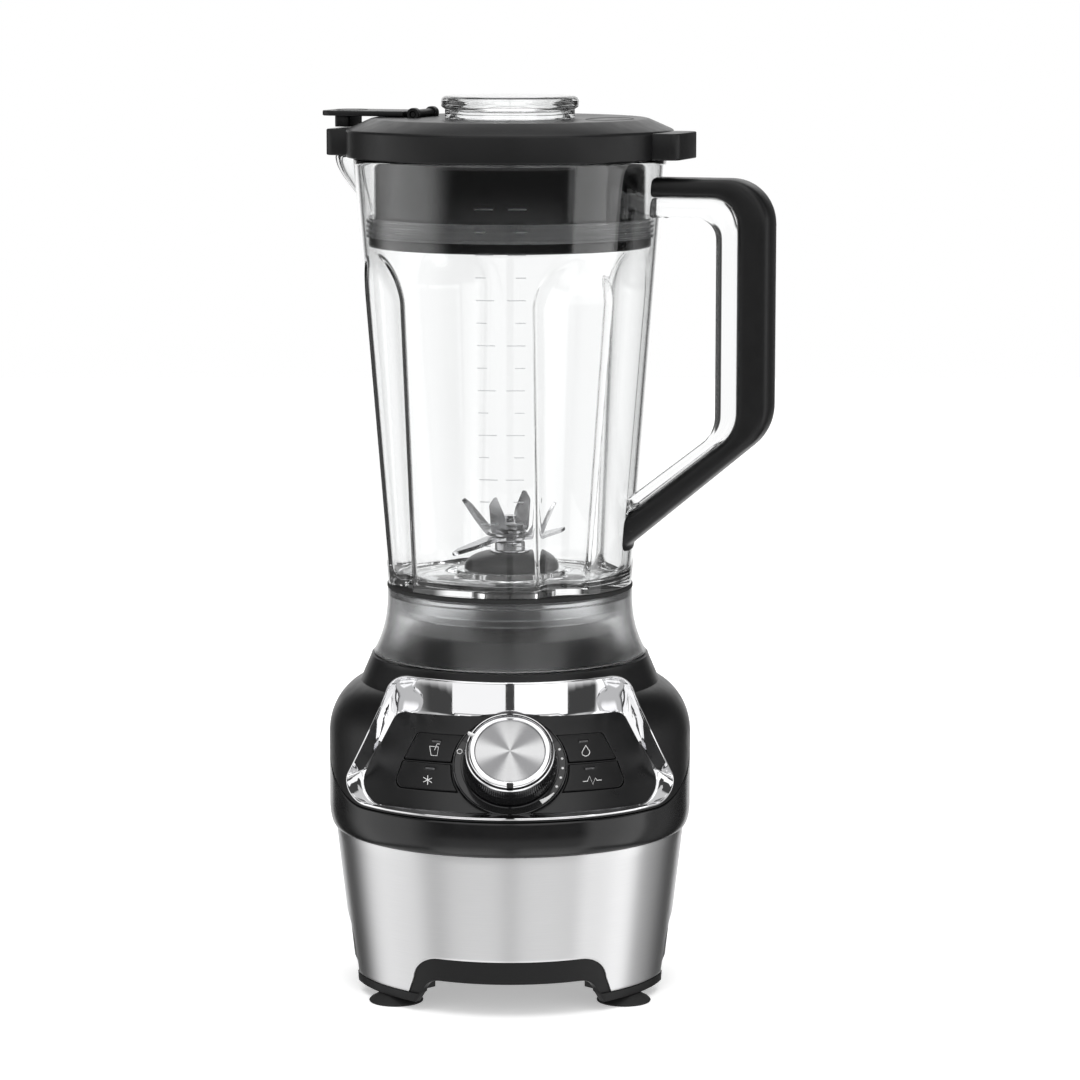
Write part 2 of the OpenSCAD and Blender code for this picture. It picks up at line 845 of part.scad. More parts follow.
module lid_cover() {
    color(matte_black) difference() {
        union() {
            rotate_extrude() polygon([[cap_hole_r, lid_top_z], [68.6, lid_top_z],
                [lid_r, 433], [lid_r, lid_z0], [lid_r - 2.5, lid_z0], [lid_r - 2.5, 431],
                [71.5, 434], [71.5, lid_z0], [plug_r, lid_z0], [plug_r, 434],
                [64, lid_top_z - 3], [cap_hole_r, lid_top_z - 3]]);
            difference() {
                union() {
                    lid_tab(handle_az);
                    lid_tab(spout_az);
                }
                disc(lid_r - 1, 0, 500);
            }
            for (side = [-1, 1])
                flap_frame() translate([0, side * 13, 0]) rotate([90, 0, 0])
                    cylinder(r = 3.2, h = 4, center = true);
        }
        flap_frame() {
            rotate([90, 0, 0]) cylinder(r = flap_pin_r + run_fit, h = 32, center = true);
            translate([-3.6, -10.9, -3]) cube([10, 21.8, 8]);
            translate([7, -11, -10]) cube([11, 22, 12]);
        }
    }
}

module lid_plug() {
    color(gloss_black) difference() {
        ring(plug_r, plug_r - 2.4, 381, 434);
        rotate([0, 0, spout_az]) translate([40, -20, 396]) cube([60, 40, 20]);
    }
}

module lid_seal() {
    // Ring with four soft ribs that stop just short of the jug's wall
    seal_z0 = 381;
    rib_r = 71.8;
    color(silicone) rotate_extrude() polygon(concat([[plug_r, seal_z0]],
        [for (i = [0:3]) each [[rib_r, seal_z0 + 2.4 * i], [rib_r, seal_z0 + 2.4 * i + 1.2],
            [rib_r - 1.4, seal_z0 + 2.4 * i + 1.5], [rib_r - 1.4, seal_z0 + 2.4 * i + 2.1]]],
        [[plug_r, seal_z0 + 9.3]]));
}

module plug_ring() {
    color(gloss_black) ring(70.6, 63, 376, 381);
}

module pour_flap() {
    // Thin flap with a narrow root between the hinge ears and a lip past the spout
    t = 2.6;
    drop = flap_z - lid_top_z - 0.4;
    color(matte_black) flap_frame() {
        translate([0, 0, -drop]) linear_extrude(t)
            polygon(rounded([[0, -10.4, 0], [5.2, -10.4, 0], [5.2, -15, 0], [50, -15, 6],
                [50, 15, 6], [5.2, 15, 0], [5.2, 10.4, 0], [0, 10.4, 0]]));
        translate([36, -10, -drop - 5.6]) cube([8, 20, 6]);
        rotate([90, 0, 0]) {
            cylinder(r = flap_pin_r, h = 29, center = true);
            cylinder(r = 2.2, h = 20.8, center = true);
        }
    }
}

module measuring_cap() {
    color(clear) rotate_extrude() polygon(concat(
        [[0, cap_top_z]],
        [for (i = [6:-1:0]) [31.3 + 3 * cos(15 * i), cap_top_z - 3 + 3 * sin(15 * i)]],
        [[33.9, cap_top_z - 5.5], [32.3, cap_top_z - 6.5], [32.3, lid_top_z + 0.35],
            [29.6, lid_top_z + 0.35], [29.2, 424], [27, 424], [27.4, cap_top_z - 4],
            [26.4, cap_top_z - 2.6], [0, cap_top_z - 2.6]]));
}

// ------------------------------------------------------------------ nodes

foot(-foot_x, -foot_y);  // foot_front_left
foot(foot_x, -foot_y);  // foot_front_right
foot(-foot_x, foot_y);  // foot_rear_left
foot(foot_x, foot_y);  // foot_rear_right
base_pan();
steel_skirt();
gloss_band();
upper_housing();
bezel();
control_panel();
dial_plate();
light_pipes();
control_board();
speed_switch();
jug_seat();
motor_stator();
field_coils();
motor_bracket_top();
motor_bracket_bottom();
motor_bearings();
brush_holders();
carbon_brushes();
motor_mounts();
motor_screws();
base_screws();
cord_gland();
interlock_switch();
motor_shaft();
armature();
commutator();
cooling_fan();
drive_coupling();
speed_knob();
knob_ring();
knob_cap();
button(-1, 0);  // button_upper_left
button(-1, 1);  // button_lower_left
button(1, 0);  // button_upper_right
button(1, 1);  // button_lower_right
interlock_plunger();
jug_vessel();
handle_grip();
jug_collar();
jug_gasket();
blade_hub();
blade_bush();
hub_nut();
blade_shaft();
blade_upper();
blade_middle();
blade_lower();
blade_nut();
driven_coupling();
lid_cover();
lid_plug();
lid_seal();
plug_ring();
pour_flap();
measuring_cap();
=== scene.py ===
"""Looks for the countertop blender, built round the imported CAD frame.

Shapes are worked out in millimetres and written to the meshes in metres. Every part of the object is
in the CAD's own frame: the jug and motor axis is Z, the worktop is z = 0 and the control face looks to -Y.
"""
import json
from math import atan2, copysign, cos, dist, hypot, pi, radians, sin, sqrt, tan

import bmesh
import bpy
import numpy as np
from mathutils import Matrix, Vector


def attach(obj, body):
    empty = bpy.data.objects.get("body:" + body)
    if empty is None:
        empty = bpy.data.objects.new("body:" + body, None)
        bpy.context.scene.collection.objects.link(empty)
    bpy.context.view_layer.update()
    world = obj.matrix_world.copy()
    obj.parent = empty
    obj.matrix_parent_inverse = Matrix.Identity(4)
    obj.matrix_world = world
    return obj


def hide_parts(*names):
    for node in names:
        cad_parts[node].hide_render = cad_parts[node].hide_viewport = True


MM = 0.001
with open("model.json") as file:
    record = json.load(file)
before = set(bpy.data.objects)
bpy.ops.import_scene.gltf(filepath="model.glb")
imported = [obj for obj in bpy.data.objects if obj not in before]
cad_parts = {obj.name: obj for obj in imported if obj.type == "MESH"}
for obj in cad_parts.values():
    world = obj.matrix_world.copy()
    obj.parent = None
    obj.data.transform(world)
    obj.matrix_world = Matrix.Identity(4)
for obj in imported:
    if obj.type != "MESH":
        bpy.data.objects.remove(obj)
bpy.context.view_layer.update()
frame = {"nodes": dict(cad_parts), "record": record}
nodes = frame["nodes"]

# ------------------------------------------------------------------ sizes that the CAD shares

HANDLE_AZ = -19
SPOUT_AZ = HANDLE_AZ + 180
FACE_TILT = 49
FACE_Y, FACE_Z = -65.221, 124.253
FACE_CURVE_R = 130
SKIRT_Z0, SKIRT_Z1 = 9.5, 83
NECK_Z = 170.5
BAND_R = 91.4
WAIST_Z, SHOULDER_Z = 130, 157
FOOT_X, FOOT_Y = 57, 43
JUG_FLOOR_Z, JUG_RIM_Z = 204, 419.5
JUG_WALL = 2.8
LID_Z0, LID_TOP_Z = 419.9, 439
LID_R = 81.5
DIAL_R = 28.2
MARK_R = 25.9
FACE = Matrix.Translation((0, FACE_Y * MM, FACE_Z * MM)) @ Matrix.Rotation(radians(FACE_TILT), 4, "X")


def smooth(t):
    t = np.clip(t, 0, 1)
    return t * t * (3 - 2 * t)


def skirt_r(z):
    return 79.6 + 8.6 * (z - SKIRT_Z0) / (SKIRT_Z1 - SKIRT_Z0)


def housing_r(z):
    if z < WAIST_Z:
        return BAND_R
    rise = (min(z, SHOULDER_Z) - WAIST_Z) / 29
    shoulder = 66 + 25.4 * sqrt(max(0.0, 1 - rise ** 2))
    slope = (69.5 - shoulder) / (NECK_Z - SHOULDER_Z)
    return shoulder if z < SHOULDER_Z else shoulder + slope * (z - SHOULDER_Z)


def split_z(y):
    return 101 + 23 * smooth((y + 56) / 70)


def sag(x):
    return FACE_CURVE_R - np.sqrt(FACE_CURVE_R ** 2 - np.square(x))


def to_face(x, z):
    """A front-view point (x, z) on the panel, in the panel's own plane."""
    t = radians(FACE_TILT)
    return x, (z - FACE_Z + sag(x) * cos(t)) / sin(t)


def face_depth(x, z):
    t = radians(FACE_TILT)
    return FACE_Y + (z - FACE_Z) / tan(t) + sag(x) / sin(t)


# ------------------------------------------------------------------------- mesh building

def rounded(corners, n=8):
    """A closed outline through (x, y, radius) corners."""
    out = []
    for i, (x, y, r) in enumerate(corners):
        p = Vector((x, y))
        if r == 0:
            out.append(p)
            continue
        a = (Vector(corners[i - 1][:2]) - p).normalized()
        b = (Vector(corners[(i + 1) % len(corners)][:2]) - p).normalized()
        half = a.angle(b) / 2
        c = p + (a + b).normalized() * r / sin(half)
        s = p + a * r / tan(half) - c
        e = p + b * r / tan(half) - c
        turn = s.angle_signed(e)
        for k in range(n + 1):
            w = -turn * k / n
            out.append(c + Vector((s.x * cos(w) - s.y * sin(w), s.x * sin(w) + s.y * cos(w))))
    return out


def resample(pts, n, closed=True):
    """n points at equal steps along a polyline."""
    p = np.array([tuple(q) for q in pts], float)
    if closed:
        p = np.vstack([p, p[:1]])
    s = np.concatenate([[0], np.cumsum(np.linalg.norm(np.diff(p, axis=0), axis=1))])
    t = np.linspace(0, s[-1], n + 1)[:-1] if closed else np.linspace(0, s[-1], n)
    return np.stack([np.interp(t, s, p[:, k]) for k in range(p.shape[1])], axis=1)


def at(r, degrees):
    a = radians(degrees)
    return r * cos(a), r * sin(a)


def around(profile, a):
    """A (radius, height) profile stood in direction a."""
    return [(r * cos(a), r * sin(a), z) for r, z in profile]


def circle(r, n=96):
    return [at(r, 360 * k / n) for k in range(n)]


def rectangle(x0, y0, x1, y1, radius=0, n=8):
    return rounded([(x0, y0, radius), (x1, y0, radius), (x1, y1, radius), (x0, y1, radius)], n)


def moved(x, y, z=0):
    return Matrix.Translation((x * MM, y * MM, z * MM))


def about_z(degrees):
    return Matrix.Rotation(radians(degrees), 4, "Z")


def link(name, data):
    ob = bpy.data.objects.new(name, data)
    bpy.context.scene.collection.objects.link(ob)
    return ob


def settled(ob):
    """The mesh that a curve, or an object with a modifier, comes to."""
    bpy.context.view_layer.update()
    return bpy.data.meshes.new_from_object(ob.evaluated_get(bpy.context.evaluated_depsgraph_get()))


def make(name, verts, faces, matrix=None):
    mesh = bpy.data.meshes.new(name)
    mesh.from_pydata((np.asarray(verts, float) * MM).tolist(), [], faces)
    if matrix is not None:
        mesh.transform(matrix)
    bm = bmesh.new()
    bm.from_mesh(mesh)
    bmesh.ops.remove_doubles(bm, verts=bm.verts, dist=2e-6)
    bmesh.ops.recalc_face_normals(bm, faces=bm.faces)
    if bm.calc_volume(signed=True) < 0:
        bmesh.ops.reverse_faces(bm, faces=bm.faces)
    bm.to_mesh(mesh)
    bm.free()
    return link(name, mesh)


def weave(rows, points, wrap_rows=True, wrap_points=True):
    """Quads between rows of points."""
    faces = []
    for i in range(rows if wrap_rows else rows - 1):
        a, b = i * points, (i + 1) % rows * points
        for k in range(points if wrap_points else points - 1):
            l = (k + 1) % points
            faces.append((a + k, b + k, b + l, a + l))
    return faces


def columns(name, loops, matrix=None):
    """A solid of closed loops that follow each other round the axis."""
    loops = np.asarray(loops, float)
    return make(name, loops.reshape(-1, 3), weave(*loops.shape[:2]), matrix)


def lathe(name, profile, steps=192, matrix=None):
    """A closed (radius, height) profile turned round Z."""
    return columns(name, [around(profile, 2 * pi * i / steps) for i in range(steps)], matrix)


def tube(name, loops, matrix=None):
    """Closed loops lofted along a path, with both ends closed."""
    loops = np.asarray(loops, float)
    rows, points = loops.shape[:2]
    faces = weave(rows, points, wrap_rows=False)
    faces += [tuple(range(points)), tuple(range((rows - 1) * points, rows * points))]
    return make(name, loops.reshape(-1, 3), faces, matrix)


def plate(name, outlines, z0, z1, bevel=0.0, bend=False, matrix=None):
    """A flat plate with holes and rounded edges; bend lays it on the control face's curve."""
    curve = bpy.data.curves.new(name, "CURVE")
    curve.dimensions = "2D"
    curve.fill_mode = "BOTH"
    curve.extrude = max((z1 - z0) / 2 - bevel, 1e-4)
    curve.bevel_depth = bevel
    curve.bevel_resolution = 2
    curve.offset = -bevel
    for outline in outlines:
        spline = curve.splines.new("POLY")
        spline.points.add(len(outline) - 1)
        for point, (x, y) in zip(spline.points, outline):
            point.co = (x, y, 0, 1)
        spline.use_cyclic_u = True
    holder = link(name, curve)
    mesh = settled(holder)
    bpy.data.objects.remove(holder)
    bm = bmesh.new()
    bm.from_mesh(mesh)
    bmesh.ops.remove_doubles(bm, verts=bm.verts, dist=1e-4)
    if bend:
        for k in range(-50, 51):
            bmesh.ops.bisect_plane(bm, geom=bm.verts[:] + bm.edges[:] + bm.faces[:],
                                   plane_co=(k * 1.6 + 0.013, 0, 0), plane_no=(1, 0, 0))
    for v in bm.verts:
        v.co.z += (z0 + z1) / 2 - (sag(v.co.x) if bend else 0)
    bmesh.ops.scale(bm, vec=(MM, MM, MM), verts=bm.verts)
    bmesh.ops.recalc_face_normals(bm, faces=bm.faces)
    bm.to_mesh(mesh)
    bm.free()
    if matrix is not None:
        mesh.transform(matrix)
    mesh.name = name
    return link(name, mesh)


def cut(ob, cutter):
    mod = ob.modifiers.new("cut", "BOOLEAN")
    mod.operation = "DIFFERENCE"
    mod.solver = "EXACT"
    mod.object = cutter
    mesh = settled(ob)
    ob.modifiers.clear()
    ob.data = mesh
    bpy.data.objects.remove(cutter)
    return ob


def join(name, parts):
    """One object from several that share a material."""
    bm = bmesh.new()
    for part in parts:
        bm.from_mesh(part.data)
        bpy.data.objects.remove(part)
    mesh = bpy.data.meshes.new(name)
    bm.to_mesh(mesh)
    bm.free()
    return link(name, mesh)


def bevelled(ob, width):
    mod = ob.modifiers.new("edges", "BEVEL")
    mod.width = width * MM
    mod.segments = 2
    mod.limit_method = "ANGLE"
    mod.angle_limit = radians(35)
    return ob


def place(ob, look, body, replaces=(), sharp=38):
    """Gives a piece its material and its body, and hides the CAD nodes that it stands for."""
    ob.data.materials.clear()
    ob.data.materials.append(LOOKS[look])
    ob.data.shade_smooth()
    ob.data.set_sharp_from_angle(angle=radians(sharp))
    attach(ob, body)
    if replaces:
        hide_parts(*replaces)
    return ob


# ----------------------------------------------------------------------------- materials

class Nodes:
    """Short names for the shader nodes that the materials share."""

    def __init__(self, tree):
        self.tree = tree
        tree.nodes.clear()

    def add(self, kind, **inputs):
        node = self.tree.nodes.new(kind)
        for key, value in inputs.items():
            self.put(node, key, value)
        return node

    def put(self, node, key, value):
        socket = node.inputs[int(key[1:])] if key[0] == "i" and key[1:].isdigit() else node.inputs[key]
        if isinstance(value, bpy.types.NodeSocket):
            self.tree.links.new(value, socket)
        else:
            socket.default_value = value

    def math(self, operation, *values):
        node = self.tree.nodes.new("ShaderNodeMath")
        node.operation = operation
        for k, value in enumerate(values):
            self.put(node, "i%d" % k, value)
        return node.outputs[0]

    def remap(self, value, a, b, c, d, smoothed=False):
        node = self.tree.nodes.new("ShaderNodeMapRange")
        node.interpolation_type = "SMOOTHSTEP" if smoothed else "LINEAR"
        for k, v in enumerate((value, a, b, c, d)):
            self.put(node, "i%d" % k, v)
        return node.outputs[0]

    def noise(self, vector, scale, detail=2.0, rough=0.5):
        node = self.add("ShaderNodeTexNoise", Vector=vector, Scale=scale, Detail=detail, Roughness=rough)
        return node.outputs["Fac"]

    def mix(self, factor, a, b):
        node = self.tree.nodes.new("ShaderNodeMix")
        node.data_type = "RGBA"
        self.put(node, "i0", factor)
        self.put(node, "i6", (*a, 1))
        self.put(node, "i7", (*b, 1))
        return node.outputs[2]

    def bump(self, height, strength, distance):
        node = self.add("ShaderNodeBump", Height=height, Strength=strength, Distance=distance)
        return node.outputs["Normal"]


def material(name, build):
    mat = bpy.data.materials.new(name)
    mat.use_nodes = True
    n = Nodes(mat.node_tree)
    shader = n.add("ShaderNodeBsdfPrincipled")
    n.add("ShaderNodeOutputMaterial", Surface=shader.outputs[0])
    build(n, shader, n.add("ShaderNodeTexCoord").outputs["Object"])
    return mat


def plastic(color, lift, rough, spread, grain, depth, coat=0.0, specular=0.5):
    """Moulded plastic: a fine grain in the surface, with slow changes in colour and gloss."""
    def build(n, s, co):
        slow = n.noise(co, 22.0, 3.0)
        fine = n.noise(co, grain, 2.0)
        n.put(s, "Base Color", n.mix(slow, color, [c + lift for c in color]))
        n.put(s, "Roughness", n.remap(n.noise(co, 140.0, 4.0), 0.3, 0.7, rough - spread, rough + spread))
        n.put(s, "Normal", n.bump(fine, 0.35, depth))
        n.put(s, "Coat Weight", coat)
        n.put(s, "Coat Roughness", 0.04)
        n.put(s, "Specular IOR Level", specular)
    return build


def metal(color, rough, spread, depth=0.0):
    """Plated or polished metal with faint handling marks."""
    def build(n, s, co):
        marks = n.noise(co, 260.0, 5.0, 0.6)
        n.put(s, "Base Color", n.mix(n.noise(co, 30.0), color, [c * 0.94 for c in color]))
        n.put(s, "Roughness", n.remap(marks, 0.35, 0.75, rough, rough + spread))
        if depth:
            n.put(s, "Normal", n.bump(marks, 0.2, depth))
        n.put(s, "Metallic", 1.0)
    return build


def brushed_round(n, s, co):
    """Steel brushed round the body: long thin streaks that follow the turn."""
    xyz = n.add("ShaderNodeSeparateXYZ", Vector=co)
    turn = n.math("ARCTAN2", xyz.outputs[0], xyz.outputs[1])
    line = n.add("ShaderNodeCombineXYZ", X=n.math("MULTIPLY", turn, 1.3),
                 Y=n.math("MULTIPLY", xyz.outputs[2], 1600.0))
    streak = n.noise(line.outputs[0], 3.0, 6.0, 0.75)
    broad = n.noise(co, 14.0, 2.0)
    n.put(s, "Base Color", n.mix(streak, (0.70, 0.70, 0.705), (0.84, 0.84, 0.845)))
    n.put(s, "Roughness", n.remap(broad, 0.3, 0.7, 0.33, 0.37))
    n.put(s, "Normal", n.bump(streak, 0.10, 0.00002))
    n.put(s, "Metallic", 1.0)
    n.put(s, "Anisotropic", 0.75)
    n.put(s, "Anisotropic Rotation", 0.25)
    n.put(s, "Tangent", tangent(n))


def spun_disc_painted_glint(n, s, co):
    """The knob's cap, spun on a lathe: fine rings, and painted highlights in four sectors, lighter and
    darker wedges put into the base colour by angle round the cap in place of the spun metal's reflections.
    """
    xyz = n.add("ShaderNodeSeparateXYZ", Vector=co)
    radius = n.math("SQRT", n.math("ADD", n.math("POWER", xyz.outputs[0], 2.0),
                                   n.math("POWER", xyz.outputs[1], 2.0)))
    rings = n.noise(n.add("ShaderNodeCombineXYZ", X=n.math("MULTIPLY", radius, 9000.0)).outputs[0], 1.0, 4.0,
                    0.7)
    # Painted highlight: four bright sectors by angle round the cap, standing in for reflections
    turn = n.math("ARCTAN2", xyz.outputs[1], xyz.outputs[0])
    painted_sector_glint = n.remap(n.math("COSINE", n.math("MULTIPLY", turn, 4.0)), -1.0, 1.0, 0.0, 0.8, True)
    rings_and_painted_glint = n.math("ADD", painted_sector_glint, n.math("MULTIPLY", rings, 0.2))
    # Base colour runs from dark to bright with the rings and the painted highlight sectors
    n.put(s, "Base Color", n.mix(rings_and_painted_glint, (0.19, 0.19, 0.195), (0.60, 0.60, 0.605)))
    n.put(s, "Roughness", n.remap(rings, 0.3, 0.7, 0.24, 0.30))
    n.put(s, "Metallic", 1.0)
    n.put(s, "Anisotropic", 0.9)
    n.put(s, "Anisotropic Rotation", 0.25)
    n.put(s, "Tangent", tangent(n))


def tangent(n):
    node = n.add("ShaderNodeTangent")
    node.direction_type = "RADIAL"
    node.axis = "Z"
    return node.outputs[0]


def clear(color, rough, ior, spread=0.0, transmission=1.0, grain=0.0):
    """Clear or frosted plastic."""
    def build(n, s, co):
        wave = n.noise(co, 30.0, 3.0)
        n.put(s, "Base Color", n.mix(wave, color, [c * 0.985 for c in color]))
        n.put(s, "Roughness", n.remap(wave, 0.3, 0.7, rough, rough + spread))
        if grain:
            n.put(s, "Normal", n.bump(n.noise(co, 1500.0, 2.0), 0.2, grain))
        n.put(s, "Transmission Weight", transmission)
        n.put(s, "IOR", ior)
    return build


BUILDERS = {
    "soft_black": plastic((0.007, 0.007, 0.0073), 0.003, 0.46, 0.04, 3800.0, 0.00003, 0.0, 0.26),
    "satin_black": plastic((0.006, 0.006, 0.0063), 0.002, 0.34, 0.04, 3200.0, 0.00002, 0.0, 0.26),
    "gloss_black": plastic((0.004, 0.004, 0.0045), 0.001, 0.07, 0.02, 600.0, 0.000002, 0.0, 0.55),
    "panel_black": plastic((0.005, 0.005, 0.0053), 0.001, 0.30, 0.03, 2600.0, 0.000006, 0.0, 0.4),
    "band_black": plastic((0.005, 0.005, 0.0053), 0.001, 0.20, 0.03, 900.0, 0.000004, 0.0, 0.5),
    "chrome": metal((0.86, 0.86, 0.87), 0.03, 0.03),
    "steel": metal((0.56, 0.56, 0.57), 0.16, 0.10, 0.00001),
    "zinc": metal((0.52, 0.52, 0.53), 0.34, 0.12, 0.00003),
    "iron": metal((0.26, 0.26, 0.28), 0.45, 0.10, 0.00003),
    "copper": metal((0.62, 0.30, 0.14), 0.30, 0.10, 0.00002),
    "brass": metal((0.66, 0.50, 0.22), 0.28, 0.08, 0.00002),
    "rubber": plastic((0.014, 0.014, 0.014), 0.006, 0.72, 0.06, 1800.0, 0.00006, 0.0, 0.3),
    "board": plastic((0.02, 0.12, 0.05), 0.02, 0.35, 0.05, 900.0, 0.00001),
    "brushed_steel": brushed_round,
    "spun_steel_painted_glint": spun_disc_painted_glint,
    "clear_plastic": clear((0.985, 0.99, 0.99), 0.0, 1.49, 0.006),
    "frosted_plastic": clear((0.93, 0.935, 0.94), 0.20, 1.42, 0.05, 1.0, 0.00001),
    "silicone": clear((0.88, 0.885, 0.89), 0.10, 1.41, 0.05, 0.90, 0.00001),
    "printed_mark": plastic((0.72, 0.72, 0.72), 0.03, 0.5, 0.03, 900.0, 0.000003),
    "lamp_lens": plastic((0.05, 0.05, 0.052), 0.01, 0.25, 0.03, 900.0, 0.000003, 0.3),
    "scale_mark": clear((0.80, 0.81, 0.82), 0.5, 1.49, 0.05),
}
LOOKS = {name: material(name, build) for name, build in BUILDERS.items()}
FROM_SLOT = {
    "matte_black": "soft_black", "gloss_black": "gloss_black", "steel_brushed": "brushed_steel",
    "chrome": "chrome", "blade_steel": "steel", "rubber": "rubber", "clear": "clear_plastic",
    "frosted": "frosted_plastic", "silicone": "silicone", "iron": "iron", "copper": "copper",
    "brass": "brass", "board": "board", "zinc": "zinc",
}
for part in frame["record"]["subparts"]:
    ob = nodes[part["node"]]
    ob.data.materials.clear()
    ob.data.materials.append(LOOKS[FROM_SLOT[part["material_slot"]]])

# ---------------------------------------------------------------------------------- base

def feet():
    profile = [(2.4, 1.4), (8.2, 1.7), (11.6, 0.5), (12.9, 0.0), (13.5, 0.25), (13.6, 0.9), (12.4, 2.0),
               (9.6, 3.4), (8.7, 4.2), (6.4, 4.5), (5.75, 5.0), (5.75, 9.4), (2.4, 9.4)]
    for name, x, y in (("foot_front_left", -FOOT_X, -FOOT_Y), ("foot_front_right", FOOT_X, -FOOT_Y),
                       ("foot_rear_left", -FOOT_X, FOOT_Y), ("foot_rear_right", FOOT_X, FOOT_Y)):
        ob = lathe("cup_" + name, profile, 64, moved(x, y))
        place(bevelled(ob, 0.3), "rubber", "base", [name])


def notch_height(half_w, top_z, radius):
    """The outline of an opening in a casing's lower edge, as height over sideways distance."""
    spread = 1.1
    pts = rounded([(-half_w * spread, -5, 0), (-half_w, top_z, radius),
                   (half_w, top_z, radius), (half_w * spread, -5, 0)], 10)
    return np.array([tuple(p) for p in pts])


def wall_columns(r_of, openings, z_low, z_high):
    """Angles round the body, with the height of the casing's lower edge at each."""
    angles = list(np.linspace(0, 2 * np.pi, 361)[:-1])
    profiles = []
    for middle, outline in openings:
        x = outline[:, 0]
        z = np.maximum(outline[:, 1], z_low)
        turn = np.arcsin(np.clip(x / r_of((z_low + z_high) / 4), -1, 1))
        profiles.append((middle, turn, z))
        angles += [middle + t for t in turn if abs(t) > 0.01]
    angles = np.array(sorted(set(round(a % (2 * np.pi), 5) for a in angles)))
    low = np.full(len(angles), float(z_low))
    for middle, turn, z in profiles:
        off = (angles - middle + np.pi) % (2 * np.pi) - np.pi
        low = np.maximum(low, np.interp(off, turn, z, left=z_low, right=z_low))
    return angles, low


def openings(front, side):
    return [(radians(a), front if a in (90, 270) else side) for a in (0, 90, 180, 270)]


def skirt():
    arches = openings(notch_height(46, 29, 13), notch_height(21, 38, 15))
    angles, low = wall_columns(skirt_r, arches, SKIRT_Z0, 38)
    loops = []
    for a, z0 in zip(angles, low):
        hem = [(-0.9, z0), (-0.55, z0 - 0.12), (-0.15, z0), (0, z0 + 0.35)]
        outer = [(0, z) for z in np.linspace(z0 + 1.2, SKIRT_Z1 - 0.6, 14)]
        top = [(-0.1, SKIRT_Z1 - 0.15), (-0.4, SKIRT_Z1), (-0.9, SKIRT_Z1)]
        loops.append(around([(skirt_r(z) + d, z) for d, z in hem + outer + top], a))
    place(columns("skirt_shell", loops), "brushed_steel", "base", ["steel_skirt"])


def pan():
    """The black casing inside the skirt; its lower edge shows as a rim under the steel."""
    rim_r, rim_z, wall_z = 79.4, 9.2, 46
    def r_of(z):
        return rim_r if z < rim_z else skirt_r(z) - 1.0
    arches = openings(notch_height(42.5, 17, 9), notch_height(19, 14, 6))
    angles, low = wall_columns(skirt_r, arches, 4.6, 20)
    inner = [(skirt_r(45) - 1.4, wall_z), (skirt_r(45) - 4.2, wall_z), (skirt_r(24) - 4.2, 24)]
    loops = []
    for a, z0 in zip(angles, low):
        r0 = r_of(z0)
        hem = [(r0 - 4.2, z0 + 0.2), (r0 - 3.6, z0), (r0 - 0.8, z0), (r0 - 0.2, z0 + 0.25), (r0, z0 + 0.8)]
        step = [(rim_r, rim_z - 0.3), (rim_r - 0.4, rim_z)] if z0 < 8 else [(r0, z0 + 0.9), (r0, z0 + 0.95)]
        outer = [(r_of(z), z) for z in np.linspace(max(rim_z, z0 + 1), wall_z - 0.6, 8)]
        loops.append(around(hem + step + outer + inner, a))
    walls = columns("pan_walls", loops)
    slots = [rectangle(x - 1.5, -22, x + 1.5, 22, 1.4, 4) for x in range(-30, 31, 6)]
    bottom = plate("pan_floor", [circle(skirt_r(19) - 2.4, 180)] + slots, 17, 19.5, 0.3)
    parts = [walls, bottom]
    ribs = [((46, 24), (62, 28)), ((38, 40), (48, 50))]
    socket = [(5.85, 5.2), (6.8, 5.2), (7.0, 5.6), (7.0, 17.5), (5.85, 17.5)]
    for sx in (-1, 1):
        for sy in (-1, 1):
            for k, ((x0, y0), (x1, y1)) in enumerate(ribs):
                d = Vector((x1 - x0, y1 - y0)).normalized()
                w = Vector((-d.y, d.x)) * 0.8
                box = [(x0 + w.x, y0 + w.y), (x1 + w.x, y1 + w.y), (x1 - w.x, y1 - w.y),
                       (x0 - w.x, y0 - w.y)]
                parts.append(plate("rib%d" % k, [[(sx * x, sy * y) for x, y in box]], 6.5, 18, 0.2))
            parts.append(lathe("socket", socket, 48, moved(sx * FOOT_X, sy * FOOT_Y)))
    place(join("pan_shell", parts), "soft_black", "base", ["base_pan"])


def band():
    z0 = SKIRT_Z1 + 0.15
    loops = []
    for i in range(360):
        a = 2 * pi * i / 360
        top = float(split_z(91 * sin(a))) - 0.12
        bulge = [(88.35 + 3.05 * sin(radians(6 * k)), 94 - (94 - z0) * cos(radians(6 * k)))
                 for k in range(16)]
        bulge[0] = (88.1, z0)
        wall = [(BAND_R, z) for z in np.linspace(95.5, top - 1.0, 8)]
        lip = [(91.28, top - 0.45), (90.95, top - 0.12), (90.5, top)]
        inside = [(88.8, top), (88.8, 97), (85.8, z0)]
        loops.append(around(bulge + wall + lip + inside, a))
    place(columns("band_ring", loops), "band_black", "base", ["gloss_band"])


# ---------------------------------------------------------------- recess and control face

EDGE_POINTS = 12
RECESS_LEAN = 0.32
# Section of the tray's rounded lip, as distance outward along the housing and up from it
LIP = [(1.15, -0.35), (1.1, 0.12), (0.8, 0.34), (0.35, 0.42), (-0.05, 0.28)]


def mirrored(half):
    return [(-x, y, r) for x, y, r in half] + [(x, y, r) for x, y, r in reversed(half)]


def fine_outline(half):
    """Both outlines are cut the same way, so that point k of one lies across from point k of the other."""
    pts = rounded(mirrored(half), EDGE_POINTS)
    out = []
    for i, p in enumerate(pts):
        q = pts[(i + 1) % len(pts)]
        steps = 26 if (q - p).length > 8 else 1
        out += [p + (q - p) * k / steps for k in range(steps)]
    return out


PANEL_HALF = [(56.4, 145.5, 8), (79.3, 103.8, 9)]
RIM_HALF = [(57.3, 166, 12), (86, 103.4, 9)]
PANEL = fine_outline(PANEL_HALF)
RIM = fine_outline(RIM_HALF)


